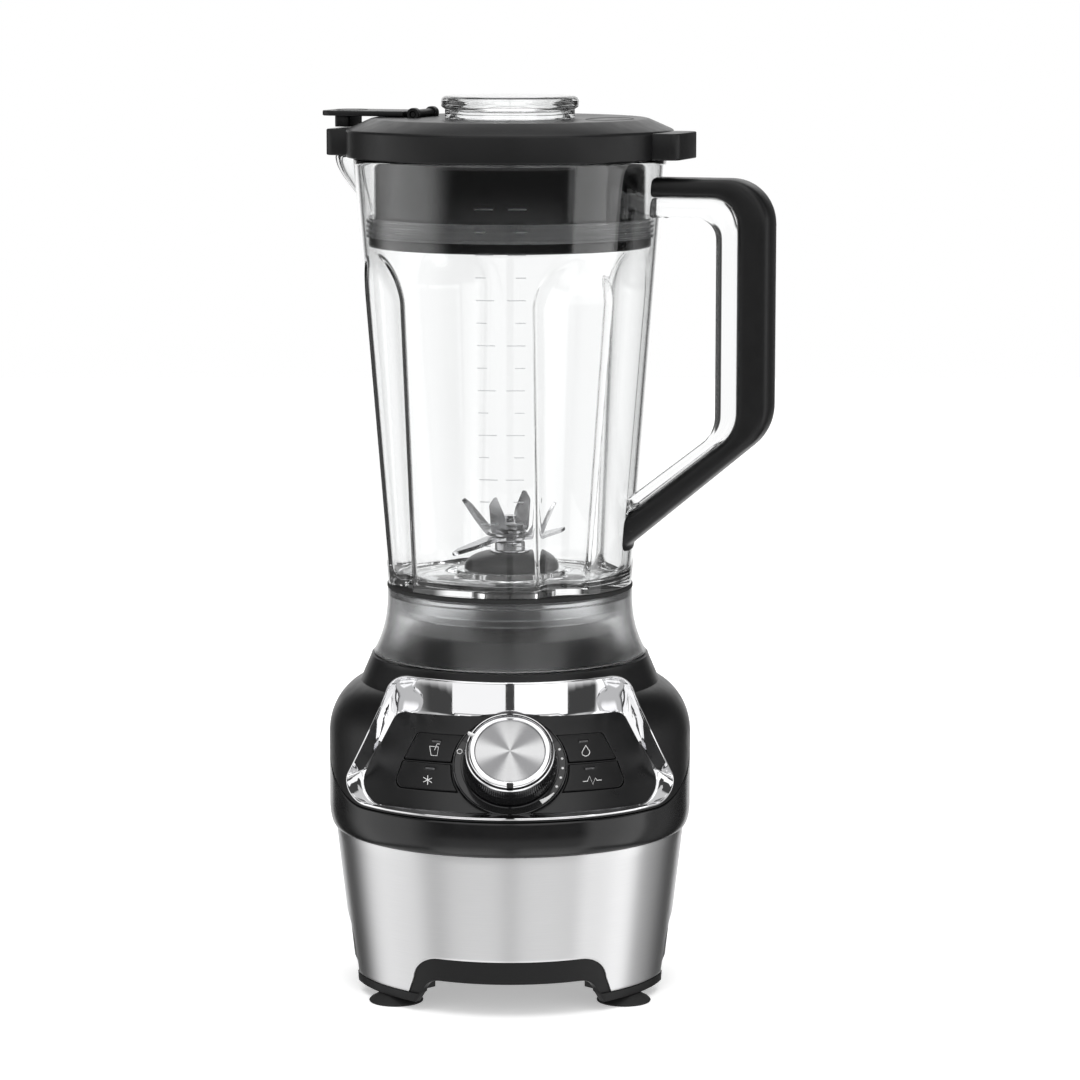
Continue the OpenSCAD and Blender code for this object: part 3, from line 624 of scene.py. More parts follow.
def recess_rings():
    """Points on the rim, at the top of the back wall and along the panel's edge."""
    rims, highs, lows = [], [], []
    for q, f in zip(RIM, PANEL):
        rim = Vector((q.x, -sqrt(housing_r(q.y) ** 2 - q.x ** 2), q.y))
        low = Vector((f.x, float(face_depth(f.x, f.y)), f.y))
        rims.append(rim)
        lows.append(low)
        rise = max(0.0, rim.z - 5 - low.z)
        highs.append(low + Vector((0, RECESS_LEAN, 1)) * rise)
    return rims, highs, lows


def upper_housing():
    loops = []
    for i in range(288):
        a = 2 * pi * i / 288
        low = float(split_z(91 * sin(a))) + 0.12
        start = [(90.4, low), (91.0, low + 0.1), (91.32, low + 0.4), (BAND_R, low + 0.9)]
        side = [(BAND_R, z) for z in np.linspace(low + 1.5, WAIST_Z - 0.5, 4)]
        arc = [(housing_r(z), z) for z in WAIST_Z + 26.4 * np.sin(np.linspace(0, pi / 2, 26))]
        arc.append((housing_r(SHOULDER_Z) + 0.1, SHOULDER_Z - 0.05))
        neck = [(housing_r(z), z) for z in np.linspace(158.2, NECK_Z - 1.0, 7)]
        lip = [(69.85, NECK_Z - 0.4), (69.3, NECK_Z), (62, NECK_Z), (62, NECK_Z - 2.4), (66.5, NECK_Z - 2.6)]
        inside = [(70.5, 156), (78, 151), (84, 143), (88, 132), (88.8, low)]
        loops.append(around(start + side + arc + neck + lip + inside, a))
    body = columns("housing_shell", loops)
    centre = Vector((0, 130))
    opening = [tuple(p + (p - centre).normalized() * 0.6) for p in RIM]
    upright = Matrix.Rotation(pi / 2, 4, "X")
    cutter = plate("recess_cutter", [opening], 20, 180, 0.0, False, upright)
    place(cut(body, cutter), "satin_black", "base", ["upper_housing"], 30)


def bezel():
    """Plated tray: a rounded lip on the housing, the walls, and a thin lip along the panel."""
    rims, highs, lows = recess_rings()
    middle = sum(lows, Vector()) / len(lows)
    n = len(rims)
    loops = []
    for i in range(n):
        rim, high, low = rims[i], highs[i], lows[i]
        out = Vector((rim.x, rim.y, 0)).normalized()
        if rim.z > 130:
            out = (out + Vector((0, 0, (rim.z - 130) / 45))).normalized()
        along = (rims[(i + 1) % n] - rims[i - 1]).normalized()
        away = along.cross(out)
        if away.dot(rim - middle) < 0:
            away = -away
        wall = (high - rim)
        if wall.length < 1e-3:
            wall = (low - rim)
        wall = wall.normalized()
        down = (low - high)
        drop = down.length
        inward = (middle - low)
        inward = (inward - along * inward.dot(along)).normalized()
        ring = [rim + away * outward + out * up for outward, up in LIP]
        ring.append(rim + wall * 0.5 - away * 0.12)
        span = (high - rim).length
        ring += [rim + wall * span * t for t in (0.25, 0.5, 0.75, 0.92)]
        if drop > 4:
            ring += [high + down * t for t in (0.04, 0.15, 0.35, 0.6, 0.8)]
            last = high + down * (1 - 1.6 / drop)
        else:
            ring += [high + (low - high) * t for t in (0.02, 0.04, 0.06, 0.08, 0.1)]
            last = low + (rim - low).normalized() * 1.6
        up = (last - low).normalized()
        ring += [last, low + up * 1.1 + inward * 0.35, low + up * 0.55 + inward * 0.55,
                 low + inward * 0.6 - up * 0.1]
        back = -inward * 1.3
        ring += [low - up * 0.6 + back * 0.2, low + back * 0.8 + up * 0.2]
        ring += [high + (rim - high) * 0.1 + back + away * 0.2, rim + away * 0.9 - out * 1.2]
        loops.append([tuple(p) for p in ring])
    place(columns("bezel_tray", loops), "chrome", "base", ["bezel"], 50)


BUTTON_ROWS = [(136.6, 124.9, 45.6, 52.6), (123.7, 112.5, 53.0, 57.4)]
LED_PLACES = [(36.5, 133.4), (39.5, 121.6)]


def button_outline(side, row, grow=0.0):
    top, low, x_top, x_low = BUTTON_ROWS[row]
    corners = [(20, top + grow, 0), (x_top + grow, top + grow, 3 if row == 0 else 0.6),
               (x_low + grow, low - grow, 0.6 if row == 0 else 3), (20, low - grow, 0)]
    pts = resample([tuple(p) for p in rounded(corners)], 240)
    r = DIAL_R + 1 - grow
    face = [to_face(float(x), float(z)) for x, z in pts]
    kept = [p for p in face if hypot(*p) > r and p[0] > 20.2]
    start = max(range(len(kept)), key=lambda k: dist(kept[k], kept[k - 1]))
    kept = kept[start:] + kept[:start]
    a1, a0 = (atan2(p[1], p[0]) for p in (kept[0], kept[-1]))
    arc = [(r * cos(a0 + (a1 - a0) * k / 16), r * sin(a0 + (a1 - a0) * k / 16)) for k in range(1, 16)]
    return [(side * x, y) for x, y in kept + arc]


def control_panel():
    edge = [to_face(p.x, p.y) for p in PANEL]
    body_outline = [(x * 0.996, y * 0.996) for x, y in edge]
    holes = [button_outline(s, row, 0.35) for s in (-1, 1) for row in (0, 1)]
    slab = plate("panel_slab", [body_outline] + holes, -2.4, 0.0, 0.18, True, FACE)
    disc = lathe("dial_hole", [(0.01, -12), (DIAL_R + 0.12, -12), (DIAL_R + 0.12, 12), (0.01, 12)], 128,
                 FACE)
    place(cut(slab, disc), "panel_black", "base", ["control_panel"], 30)
    backing = plate("panel_backing", [[(x * 0.97, y * 0.97) for x, y in edge]], -6.6, -5.4, 0.1, True, FACE)
    place(backing, "satin_black", "base", ["light_pipes"])


def dial():
    r = DIAL_R
    profile = [(3.7, 1.15), (r - 4.2, 1.15), (r - 3.9, 0.75), (r - 0.9, 0.75), (r - 0.55, 1.2),
               (r - 0.25, 1.25),
               (r - 0.05, 1.0), (r, 0.6), (r, -4.9), (3.7, -4.9)]
    place(lathe("dial_ring", profile, 192, FACE), "gloss_black", "base", ["dial_plate"], 30)
    dot = [(0.01, 0.7), (0.62, 0.7), (0.66, 0.84), (0.5, 0.93), (0.01, 0.96)]
    parts = []
    for a in (20, 8, -4, -16, -28):
        parts.append(lathe("dot", dot, 20, FACE @ moved(*at(MARK_R, a))))
    place(join("dial_dots", parts), "printed_mark", "base")
    cx, cy = at(MARK_R, 163)
    ring = [(cx + x, cy + y) for x, y in circle(1.25, 24)]
    wedge_out = [at(27.0, -36 - k) for k in range(0, 19, 2)]
    wedge_in = [at(26.4 - 1.9 * k / 18, -36 - k) for k in range(18, -1, -2)]
    marks = [stroke("off_ring", ring + ring[:1], 0.26, lambda x, y: 0.9),
             plate("max_wedge", [wedge_out + wedge_in], 0.7, 0.95, 0.0, False, FACE)]
    place(join("dial_marks", marks), "printed_mark", "base")


def stroke(name, points, radius, height):
    """A printed line on the face, as a thin half-sunk wire."""
    curve = bpy.data.curves.new(name, "CURVE")
    curve.dimensions = "3D"
    curve.bevel_depth = radius * MM
    curve.bevel_resolution = 2
    curve.use_fill_caps = True
    spline = curve.splines.new("POLY")
    spline.points.add(len(points) - 1)
    for point, (x, y) in zip(spline.points, points):
        co = FACE @ Vector((x * MM, y * MM, height(x, y) * MM))
        point.co = (*co, 1)
    holder = link(name, curve)
    mesh = settled(holder)
    bpy.data.objects.remove(holder)
    return link(name, mesh)


# Pictograms in place of words, as lines in millimetres about their own middle
SIGNS = {
    "upper_left": [[(-2.2, 2.4), (-1.5, -2.4), (1.5, -2.4), (2.2, 2.4), (-2.2, 2.4)],
                   [(0.2, 0.6), (1.5, 4.0), (2.9, 4.0)]],
    "lower_left": [[at(2.5, a), at(-2.5, a)] for a in (30, 90, 150)],
    "upper_right": [[(0, 3.0)] + [(1.9 * sin(radians(a)), -0.8 - 1.9 * cos(radians(a)))
                                 for a in range(110, -111, -20)] + [(0, 3.0)]],
    "lower_right": [[(-4.6, -0.4), (-2.4, -0.4), (-1.3, 2.2), (0.3, -2.4), (1.5, 1.0), (2.3, -0.4),
                     (4.6, -0.4)]],
}


def buttons():
    for side, side_name in ((-1, "left"), (1, "right")):
        for row, row_name in ((0, "upper"), (1, "lower")):
            key = row_name + "_" + side_name
            body = "button_" + row_name[0] + side_name[0]
            x, z = side * LED_PLACES[row][0], LED_PLACES[row][1]
            window = rectangle(x - 2.4, z - 0.55, x + 2.4, z + 0.55, 0.3, 3)
            hole = [to_face(px, pz) for px, pz in window]
            cap = plate("key_" + key, [button_outline(side, row), hole], -3.0, 0.7, 0.42, True, FACE)
            place(cap, "satin_black", body, ["button_" + key], 25)
            lens = [to_face(px, pz) for px, pz in rectangle(x - 2.3, z - 0.45, x + 2.3, z + 0.45)]
            place(plate("lamp_" + key, [lens], -2.2, 0.25, 0.1, True, FACE), "lamp_lens", body)
            cx, cz = side * (37.5 if row == 0 else 40.5), 129.0 if row == 0 else 116.4
            lines = [stroke("line", [to_face(cx + px, cz + pz * 0.8) for px, pz in line], 0.2,
                            lambda px, py: 0.72 - float(sag(px))) for line in SIGNS[key]]
            place(join("sign_" + key, lines), "printed_mark", body)


# ---------------------------------------------------------------------------------- knob

def knob():
    ribs = 120
    profile = [(3.0, 1.7), (22.6, 1.7), (23.25, 2.1), (23.3, 2.8), (22.35, 10.6), (22.2, 11.6),
               (22.05, 12.6),
               (21.3, 12.9), (21.1, 12.2), (20.4, 12.2), (20.2, 12.9), (3.0, 12.9)]
    loops = []
    steps = ribs * 6
    for i in range(steps):
        a = 2 * pi * i / steps
        wave = 0.22 * max(-0.4, cos(ribs * a))
        loops.append(around([(r - wave if 2.5 < z < 11 and r > 22 else r, z) for r, z in profile], a))
    body = columns("knob_body", loops, FACE)
    stem = lathe("stem", [(0.01, -8.4), (2.95, -8.4), (2.95, 1.8), (0.01, 1.8)], 48, FACE)
    place(join("knob_shell", [body, stem]), "gloss_black", "knob", ["speed_knob"], 30)
    thin = lathe("thin_ring", [(21.25, 12.5), (21.95, 12.5), (21.98, 13.2), (21.7, 13.6), (21.4, 13.5),
                               (21.2, 13.1)], 192, FACE)
    wide = lathe("wide_ring", [(17.35, 12.7), (20.35, 12.7), (20.5, 13.6), (20.2, 14.5), (19.5, 15.0),
                               (18.4, 15.15),
                               (17.6, 14.9), (17.3, 14.4)], 192, FACE)
    place(join("knob_rings", [thin, wide]), "chrome", "knob", ["knob_ring"], 40)
    disc = lathe("knob_disc", [(0.01, 0.0), (17.2, 0.0), (17.2, 1.35), (16.9, 1.62), (0.01, 1.7)], 256)
    disc.matrix_world = FACE @ moved(0, 0, 13)
    place(disc, "spun_steel_painted_glint", "knob", ["knob_cap"], 30)
    mark = rectangle(19.0, -0.45, 23.0, 0.45)
    place(plate("knob_index", [mark], 12.6, 15.3, 0.15, False, FACE @ about_z(153)), "printed_mark", "knob")
    notch = rectangle(18.2, -1.6, 20.7, 1.6)
    place(plate("knob_notch", [notch], 12.8, 15.25, 0.1, False, FACE @ about_z(270)), "satin_black", "knob")


feet()
skirt()
pan()
band()
upper_housing()
bezel()
control_panel()
dial()
buttons()
knob()

# ----------------------------------------------------------------------------------- jug

FLUTE_AZ = [HANDLE_AZ + 45 + 90 * k for k in range(4)]
FLUTE_TOP_Z, FLUTE_TOP_R, FLUTE_TOP_DEPTH = 351, 36, 9
FLUTE_LOW_R, FLUTE_LOW_DEPTH = 20, 5.5
BOSS_R, BOSS_Z = 27, 213


def jug_r(z):
    return 61.2 + 16.8 * (z - JUG_FLOOR_Z) / (JUG_RIM_Z - JUG_FLOOR_Z)


def angle_from(a, az_deg):
    return (a - radians(az_deg) + pi) % (2 * pi) - pi


def soft_min(a, b, width):
    h = np.clip(0.5 + 0.5 * (b - a) / width, 0, 1)
    return b + (a - b) * h - width * h * (1 - h)


def groove_face(a, z, grow):
    """Distance from the axis to the nearest flute's surface in direction a, or a large number."""
    best = 1e6
    z0 = JUG_FLOOR_Z - 6
    for az in FLUTE_AZ:
        off = angle_from(a, az)
        if abs(off) > radians(42):
            continue
        t = min(1.0, (z - z0) / (FLUTE_TOP_Z - z0))
        low_x = jug_r(z0) - FLUTE_LOW_DEPTH + FLUTE_LOW_R
        top_x = jug_r(FLUTE_TOP_Z) - FLUTE_TOP_DEPTH + FLUTE_TOP_R
        x = low_x + (top_x - low_x) * t
        r = FLUTE_LOW_R + (FLUTE_TOP_R - FLUTE_LOW_R) * t + grow
        if z > FLUTE_TOP_Z:
            lift = z - FLUTE_TOP_Z
            r = r * r - lift * lift
            if r <= 0:
                continue
            r = sqrt(r)
            x += (top_x - low_x) / (FLUTE_TOP_Z - z0) * lift
        across = x * sin(off)
        if abs(across) >= r:
            continue
        best = min(best, x * cos(off) - sqrt(r * r - across * across))
    return best


def spout_bump(a, z):
    """How far the lip stands out from the round wall at the spout."""
    rise = smooth((z - 388) / 30.0)
    width = radians(12.5) * (0.35 + 0.65 * rise)
    off = abs(angle_from(a, SPOUT_AZ)) / width
    return 15.0 * rise * float(1 - smooth(off)) if off < 1 else 0.0


def wall_r(a, z, inset):
    r = jug_r(z) - inset + spout_bump(a, z)
    groove = groove_face(a, z, inset)
    return float(soft_min(r, groove, 1.6)) if groove < r + 4 else r


def jug_vessel():
    steps = 720
    heights = list(np.linspace(206.6, 216, 5)) + list(np.linspace(219, 345, 40)) + \
        list(np.linspace(348, 392, 30)) + list(np.linspace(394, 418.2, 13))
    loops = []
    for i in range(steps):
        a = 2 * pi * i / steps
        outer = [(wall_r(a, z, 0), z) for z in heights]
        top = outer[-1][0]
        rim = [(top - 0.1, 418.9), (top - 0.5, 419.35), (top - 1.2, 419.5), (top - 2.0, 419.4),
               (top - 2.55, 419.0)]
        inner = [(wall_r(a, z, JUG_WALL), z) for z in reversed(heights[4:])]
        low = inner[-1][0]
        bowl = [(low - 7 * (1 - cos(w)), 216 - 7 * sin(w)) for w in (radians(15 * k) for k in range(1, 7))]
        boss = [(BOSS_R + 1.2, 209.05), (BOSS_R + 0.3, 209.5), (BOSS_R, 210.2), (BOSS_R, 212.3),
                (BOSS_R - 0.5, BOSS_Z), (13, BOSS_Z)]
        under = [(13, JUG_FLOOR_Z), (48, JUG_FLOOR_Z), (48, 194), (52, 194), (52, 206.3),
                 (outer[0][0] - 2, 206.3)]
        loops.append(around(outer + rim + inner + bowl + boss + under, a))
    place(columns("jug_wall", loops), "clear_plastic", "jug", ["jug_vessel"], 40)


HANDLE = about_z(HANDLE_AZ)


def bow(front, back, half, steps, power):
    """A bar between two outlines, each given from one end to the other; its section is a rounded box."""
    f = resample(rounded(front, 12), steps, False)
    b = resample(rounded(back, 12), steps, False)
    loops = []
    for k in range(steps):
        middle, reach = (f[k] + b[k]) / 2, (f[k] - b[k]) / 2
        ring = []
        for j in range(40):
            w = 2 * pi * j / 40
            u = copysign(abs(cos(w)) ** power, cos(w))
            v = copysign(abs(sin(w)) ** power, sin(w))
            p = middle + reach * u
            ring.append((p[0], half * v, p[1]))
        loops.append(ring)
    return loops


def to_wall(loops, clearance):
    """Stops a bar at the jug's wall, clear of it by a hair."""
    for loop in loops:
        for j, (x, y, z) in enumerate(loop):
            least = sqrt(max(0, (jug_r(z) + clearance) ** 2 - y * y))
            if x < least:
                loop[j] = (least, y, z)
    return loops


def handle():
    clear_front = [(70, 401, 0), (119, 401, 13), (119, 287, 20), (60, 241, 0)]
    clear_back = [(70, 391, 0), (108, 391, 10), (108, 286, 16), (60, 249, 0)]
    bar = tube("clear_bar", to_wall(bow(clear_front, clear_back, 7.9, 150, 0.55), -1.2), HANDLE)
    place(bar, "clear_plastic", "jug", (), 50)
    front = [(70, 411, 0), (136, 411, 22), (136, 288, 26), (60, 225, 0)]
    back = [(70, 401.2, 0), (119.2, 401.2, 13), (119.2, 287, 20), (60, 240.6, 0)]
    loops = to_wall(bow(front, back, 10.5, 170, 0.5), 0.25)
    place(tube("grip_shell", loops, HANDLE), "satin_black", "jug", ["handle_grip"], 50)


def collar():
    outer = [(61.6 + 7.2 * (1 - t) ** 2.6, 171 + 33 * t) for t in np.linspace(0.0, 1, 28)]
    foot = [(outer[0][0] - 2.4, 171.0), (outer[0][0] - 0.6, 171.0)]
    outer = [(outer[0][0] - 0.1, 171.3)] + outer[1:-1] + [(61.6, 203.2), (61.2, 203.8), (60.4, 204)]
    inner = [(r - 2.6, z) for r, z in reversed(outer[1:-3]) if z < 200.5]
    ring = lathe("collar_wall", foot + outer + [(52.3, 204), (52.2, 203.9), (52.2, 191.2), (52.4, 191),
                                                (54.8, 191),
                                                (55, 191.2), (55, 200), (56.5, 201)] + inner, 256)
    pad = plate("pad", [rectangle(-5, 40, 5, 48, 1)], 187.3, 193.5, 0.3)
    shelf = plate("shelf", [rectangle(-5, 40, 5, 54, 1)], 191.05, 193.5, 0.3)
    place(join("collar_shell", [ring, pad, shelf]), "frosted_plastic", "jug", ["jug_collar"], 40)
    rubber = [(52.2, 204.05), (61.5, 204.05), (61.9, 204.4), (61.9, 205.9), (61.5, 206.25), (52.2, 206.25)]
    place(lathe("gasket_ring", rubber, 192), "rubber", "jug", ["jug_gasket"])


def scale():
    """Graduation lines on the front of the wall, long and short by turns."""
    parts = []
    for k in range(1, 17):
        z = 222 + 11 * k
        length = 9 if k % 2 == 0 else 5
        for az in (-103, -84):
            r = jug_r(z) + 0.08
            a0 = radians(az)
            turn = length / r * (1 if az < -90 else -1)
            line = [(r * cos(a0 + turn * j / 6), r * sin(a0 + turn * j / 6)) for j in range(7)]
            section = [(1, -0.22), (1.0014, -0.22), (1.0014, 0.22), (1, 0.22)]
            loops = [[(x * out, y * out, z + h) for out, h in section] for x, y in line]
            parts.append(tube("tick", loops))
    place(join("scale_lines", parts), "scale_mark", "jug")


# ------------------------------------------------------------------------ hub and blades

def hub():
    dome = [(7 + 16 * cos(w), 214 + 8 * sin(w)) for w in np.radians(np.linspace(0, 90, 14))]
    profile = [(7.1, 195.9), (12.8, 195.9), (12.9, 196.2), (12.9, 213.05), (22.6, 213.05),
               (23, 213.4)] + dome + [(7.1, 222)]
    place(lathe("hub_dome", profile, 160), "satin_black", "jug", ["blade_hub"], 30)
    ring = [(7.3, 222.0), (9.6, 222.0), (9.9, 222.2), (9.9, 222.5), (9.6, 222.7), (7.9, 222.75)]
    place(lathe("hub_washer", ring, 96), "chrome", "jug")
    hexagon = rounded([(*at(22.9, 60 * k), 1.2) for k in range(6)])
    place(plate("hub_ring_nut", [hexagon, circle(13.05)], 195.85, 203.9, 0.5), "steel", "jug", ["hub_nut"],
          30)


def blade_shape(name, z, turn, bends, lengths, half_w):
    """A flat centre with two wings, bent up or down and ground to an edge on the leading side."""
    root, t, run = 10.0, 1.5, 3.2
    centre = [(4.0, z), (7.7, z), (8.0, z + 0.25), (8.0, z + 1.25), (7.7, z + 1.5), (4.0, z + 1.5)]
    parts = [lathe("middle", centre, 64)]
    for k in (0, 1):
        length, bend = lengths[k], radians(bends[k])
        arc = run / bend
        rows = []
        for s in np.linspace(0, 1, 22):
            x = s * (root + length)
            u = (x - root) / length
            if u < 0:
                front, back = half_w * 0.98, -half_w * 0.98
            else:
                front = float(np.interp(u, [0, 0.5, 1], [half_w * 0.97, half_w * 0.9, half_w * 0.35]))
                back = float(np.interp(u, [0, 0.8, 1], [-half_w * 0.97, -half_w * 0.7, -half_w * 0.1]))
            edge = min(2.4, (front - back) * 0.45) * float(smooth((u + 0.15) / 0.25)) + 0.02
            tip = t / 2 - (1.3 if edge > 0.5 else 0.1)
            section = [(back, -t / 2 + 0.1), (back + 0.1, -t / 2), (front - edge, -t / 2),
                       (front, -t / 2 + 0.12),
                       (front, tip), (front - edge, t / 2), (back + 0.1, t / 2), (back, t / 2 - 0.1)]
            bent = max(0.0, x - root + run / 2)
            turned = bend * min(1.0, bent / run)
            far = max(0.0, bent - run)
            ring = []
            for y, h in section:
                px = min(x, root - run / 2) + (arc - h) * sin(turned) + far * cos(bend)
                pz = arc - (arc - h) * cos(turned) + far * sin(bend)
                ring.append((px, y, pz + z + t / 2))
            rows.append(ring)
        parts.append(tube("wing", rows, about_z(turn + 180 * k)))
    return join(name, parts)


def blades():
    for name, z, turn, bends, lengths, half_w in (
            ("upper", 231.4, 62, (72, 72), (19, 19), 5), ("middle", 229.6, 164, (50, 56), (22, 20), 5.5),
            ("lower", 227.8, 28, (8, -16), (20, 23), 6)):
        place(blade_shape("knife_" + name, z, turn, bends, lengths, half_w), "steel", "blades",
              ["blade_" + name], 25)
    shaft = [(0.01, 187.4), (3.6, 187.4), (4, 187.8), (4, 222.3), (7.2, 222.4), (7.6, 222.9), (7.6, 226.4),
             (7.2, 226.9),
             (4, 227), (4, 239.4), (3.5, 239.95), (0.01, 240)]
    place(lathe("shaft_turned", shaft, 96), "steel", "blades", ["blade_shaft"], 30)
    hexagon = rounded([(*at(6.6, 60 * k), 0.5) for k in range(6)], 4)
    nut = plate("nut", [hexagon, circle(4.05, 48)], 233.05, 237, 0.35)
    crown = lathe("crown", [(4.05, 236.8), (5, 236.8), (5, 238.2), (4.7, 238.5), (4.05, 238.5)], 64)
    place(join("nut_turned", [nut, crown]), "steel", "blades", ["blade_nut"], 30)


# ----------------------------------------------------------------------------------- lid

FLAP_R, FLAP_Z = 46, 440.6
FLAP = about_z(SPOUT_AZ) @ moved(FLAP_R, 0, FLAP_Z)


def lid_cover():
    top = [(30.2, 438.9), (30.6, LID_TOP_Z), (67.2, LID_TOP_Z), (68.4, 438.95), (69.4, 438.7)]
    slope = [(80.3, 433.9), (81.0, 433.5), (81.4, 432.9), (LID_R, 432.2)]
    hem = [(LID_R, 420.4), (81.2, LID_Z0), (79.3, LID_Z0), (79.0, 420.3)]
    under = [(79, 431), (71.5, 434), (71.5, 420.3), (71.2, LID_Z0), (68.1, LID_Z0), (67.8, 420.3),
             (67.8, 434), (64, 436),
             (30.2, 436), (30.0, 436.3), (30.0, 438.6)]
    shell = lathe("lid_shell", top + slope + hem + under, 288)
    tabs = []
    for az in (HANDLE_AZ, SPOUT_AZ):
        outline = rounded([(76, -18, 0), (92.5, -18, 5), (92.5, 18, 5), (76, 18, 0)])
        tab = plate("tab", [outline], LID_Z0, 433, 0.7, False, about_z(az))
        keep = lathe("keep", [(0.01, 400), (80.6, 400), (80.6, 450), (0.01, 450)], 256)
        tabs.append(cut(tab, keep))
    for side in (-1, 1):
        ear = lathe("ear", [(1.75, -2), (2.9, -2), (3.2, -1.7), (3.2, 1.7), (2.9, 2), (1.75, 2)], 48,
                    FLAP @ moved(0, side * 13) @ Matrix.Rotation(pi / 2, 4, "X"))
        tabs.append(ear)
    for box, z0, z1 in ((rectangle(-3.6, -10.9, 6.4, 10.9), -3.0, 5.0),
                        (rectangle(7, -11, 18, 11), -10.0, 2.0)):
        shell = cut(shell, plate("pocket", [box], z0, z1, 0.0, False, FLAP))
    place(join("lid_top", [shell] + tabs), "satin_black", "lid", ["lid_cover"], 30)
    groove = oval(52, 11, 17, LID_TOP_Z, HANDLE_AZ, 72)
    place(line_ring("lid_oval", groove, 0.16), "soft_black", "lid")


def oval(middle, half_x, half_y, top_z, az, steps):
    """A closed line just above a top face, round a point that lies out from the axis."""
    turned = Matrix.Rotation(radians(az), 3, "Z")
    return [turned @ Vector((middle + half_x * cos(w), half_y * sin(w), top_z + 0.02))
            for w in (2 * pi * k / steps for k in range(steps))]


def line_ring(name, points, radius):
    loops = []
    for k, p in enumerate(points):
        along = (points[(k + 1) % len(points)] - points[k - 1]).normalized()
        side = along.cross(Vector((0, 0, 1))).normalized()
        loops.append([tuple(p + side * radius * cos(w) * 2 + Vector((0, 0, radius * sin(w))))
                      for w in (2 * pi * j / 8 for j in range(8))])
    return columns(name, loops)


def lid_plug():
    wall = lathe("plug_wall", [(65.4, 381.05), (67.75, 381.05), (67.8, 381.2), (67.8, 433.9), (65.4, 433.9)],
                 256)
    slot = plate("slot", [rectangle(40, -20, 100, 20)], 396, 416, 0.0, False, about_z(SPOUT_AZ))
    place(cut(wall, slot), "gloss_black", "lid", ["lid_plug"], 30)
    ring = [(63, 376.4), (63.4, 376), (70, 376), (70.5, 376.4), (70.6, 377), (70.6, 380.4), (70.2, 380.95),
            (63, 380.95)]
    place(lathe("plug_hoop", ring, 256), "gloss_black", "lid", ["plug_ring"], 30)
    ribs = [(67.85, 381.0)]
    for k in range(4):
        z = 381 + 2.4 * k
        ribs += [(71.3, z + 0.02), (71.7, z + 0.2), (71.8, z + 0.6), (71.7, z + 1.0), (71.2, z + 1.25),
                 (70.5, z + 1.5),
                 (70.4, z + 1.8), (70.6, z + 2.2)]
    ribs += [(70.2, 390.3), (67.85, 390.3)]
    place(lathe("seal_ribs", ribs, 256), "silicone", "lid", ["lid_seal"], 50)


def pour_flap():
    t = 2.6
    z0 = -(FLAP_Z - LID_TOP_Z - 0.4)
    outline = rounded([(0, -10.4, 0), (5.2, -10.4, 0), (5.2, -15, 1), (50, -15, 6), (50, 15, 6),
                       (5.2, 15, 1),
                       (5.2, 10.4, 0), (0, 10.4, 0)])
    top = plate("leaf", [outline], z0, z0 + t, 0.5, False, FLAP)
    neck = plate("neck", [rectangle(36, -10, 44, 10, 2)], z0 - 5.6, z0 + 0.4, 0.3, False, FLAP)
    turned = FLAP @ Matrix.Rotation(pi / 2, 4, "X")
    pin = lathe("pin", [(0.01, -14.5), (1.2, -14.5), (1.5, -14.2), (1.5, 14.2), (1.2, 14.5), (0.01, 14.5)],
                32, turned)
    barrel = lathe("barrel", [(1.5, -10.4), (2.2, -10.4), (2.2, 10.4), (1.5, 10.4)], 48, turned)
    place(join("flap_leaf", [top, neck, pin, barrel]), "satin_black", "flap", ["pour_flap"], 30)
    border = oval(FLAP_R + 38, 7, 11, FLAP_Z + z0 + t, SPOUT_AZ, 60)
    place(line_ring("flap_oval", border, 0.16), "soft_black", "flap")


def measuring_cap():
    crown = [(0.01, 450.0)] + [(31.3 + 3 * cos(w), 447 + 3 * sin(w))
                               for w in np.radians(np.linspace(90, 0, 9))]
    waist = [(34.2, 445.2), (33.9, 444.5), (33.2, 444.0), (32.5, 443.6), (32.3, 443.2), (32.3, 439.7),
             (32.0, 439.35),
             (29.9, 439.35), (29.6, 439.0), (29.22, 424.4), (28.9, 424), (27.3, 424), (27.0, 424.3), (27.4,
                                                                                                      445.2),
             (27.2, 446.2), (26.4, 447.2), (25.4, 447.4), (0.01, 447.4)]
    place(lathe("cap_cup", crown + waist, 256), "clear_plastic", "cap", ["measuring_cap"], 35)


# ---------------------------------------------------------------- seat, drive and gland

def seat():
    profile = [(6.0, 168.0), (61.6, 168.0), (61.8, 168.2), (61.8, 170.3), (61.6, 170.5), (57.4, 170.5),
               (57.0, 170.9),
               (52.3, 182.4), (51.8, 183), (22.4, 183), (22.0, 182.7), (22.0, 173), (6.0, 173)]
    disc = lathe("seat_disc", profile, 192)
    hole = lathe("hole", [(0.01, 150), (2.6, 150), (2.6, 190), (0.01, 190)], 48, moved(0, 44))
    place(cut(disc, hole), "soft_black", "base", ["jug_seat"], 30)


def coupling():
    body = lathe("drive", [(3.5, 178.1), (17.2, 178.1), (17.5, 178.4), (17.5, 194.5), (17.1, 195),
                           (3.5, 195)], 96)
    root, tip = 10.4, 14.4
    half = (tip - root) * 0.7
    inner = sqrt(root ** 2 - half ** 2)
    star = []
    for k in range(6):
        a = radians(60 * k)
        for x, y in ((inner, -half), (tip, -half), (tip, half), (inner, half)):
            star.append((x * cos(a) - y * sin(a), x * sin(a) + y * cos(a), 0.5))
    socket = plate("socket", [rounded(star, 3)], 187, 200)
    place(cut(body, socket), "soft_black", "rotor", ["drive_coupling"], 30)


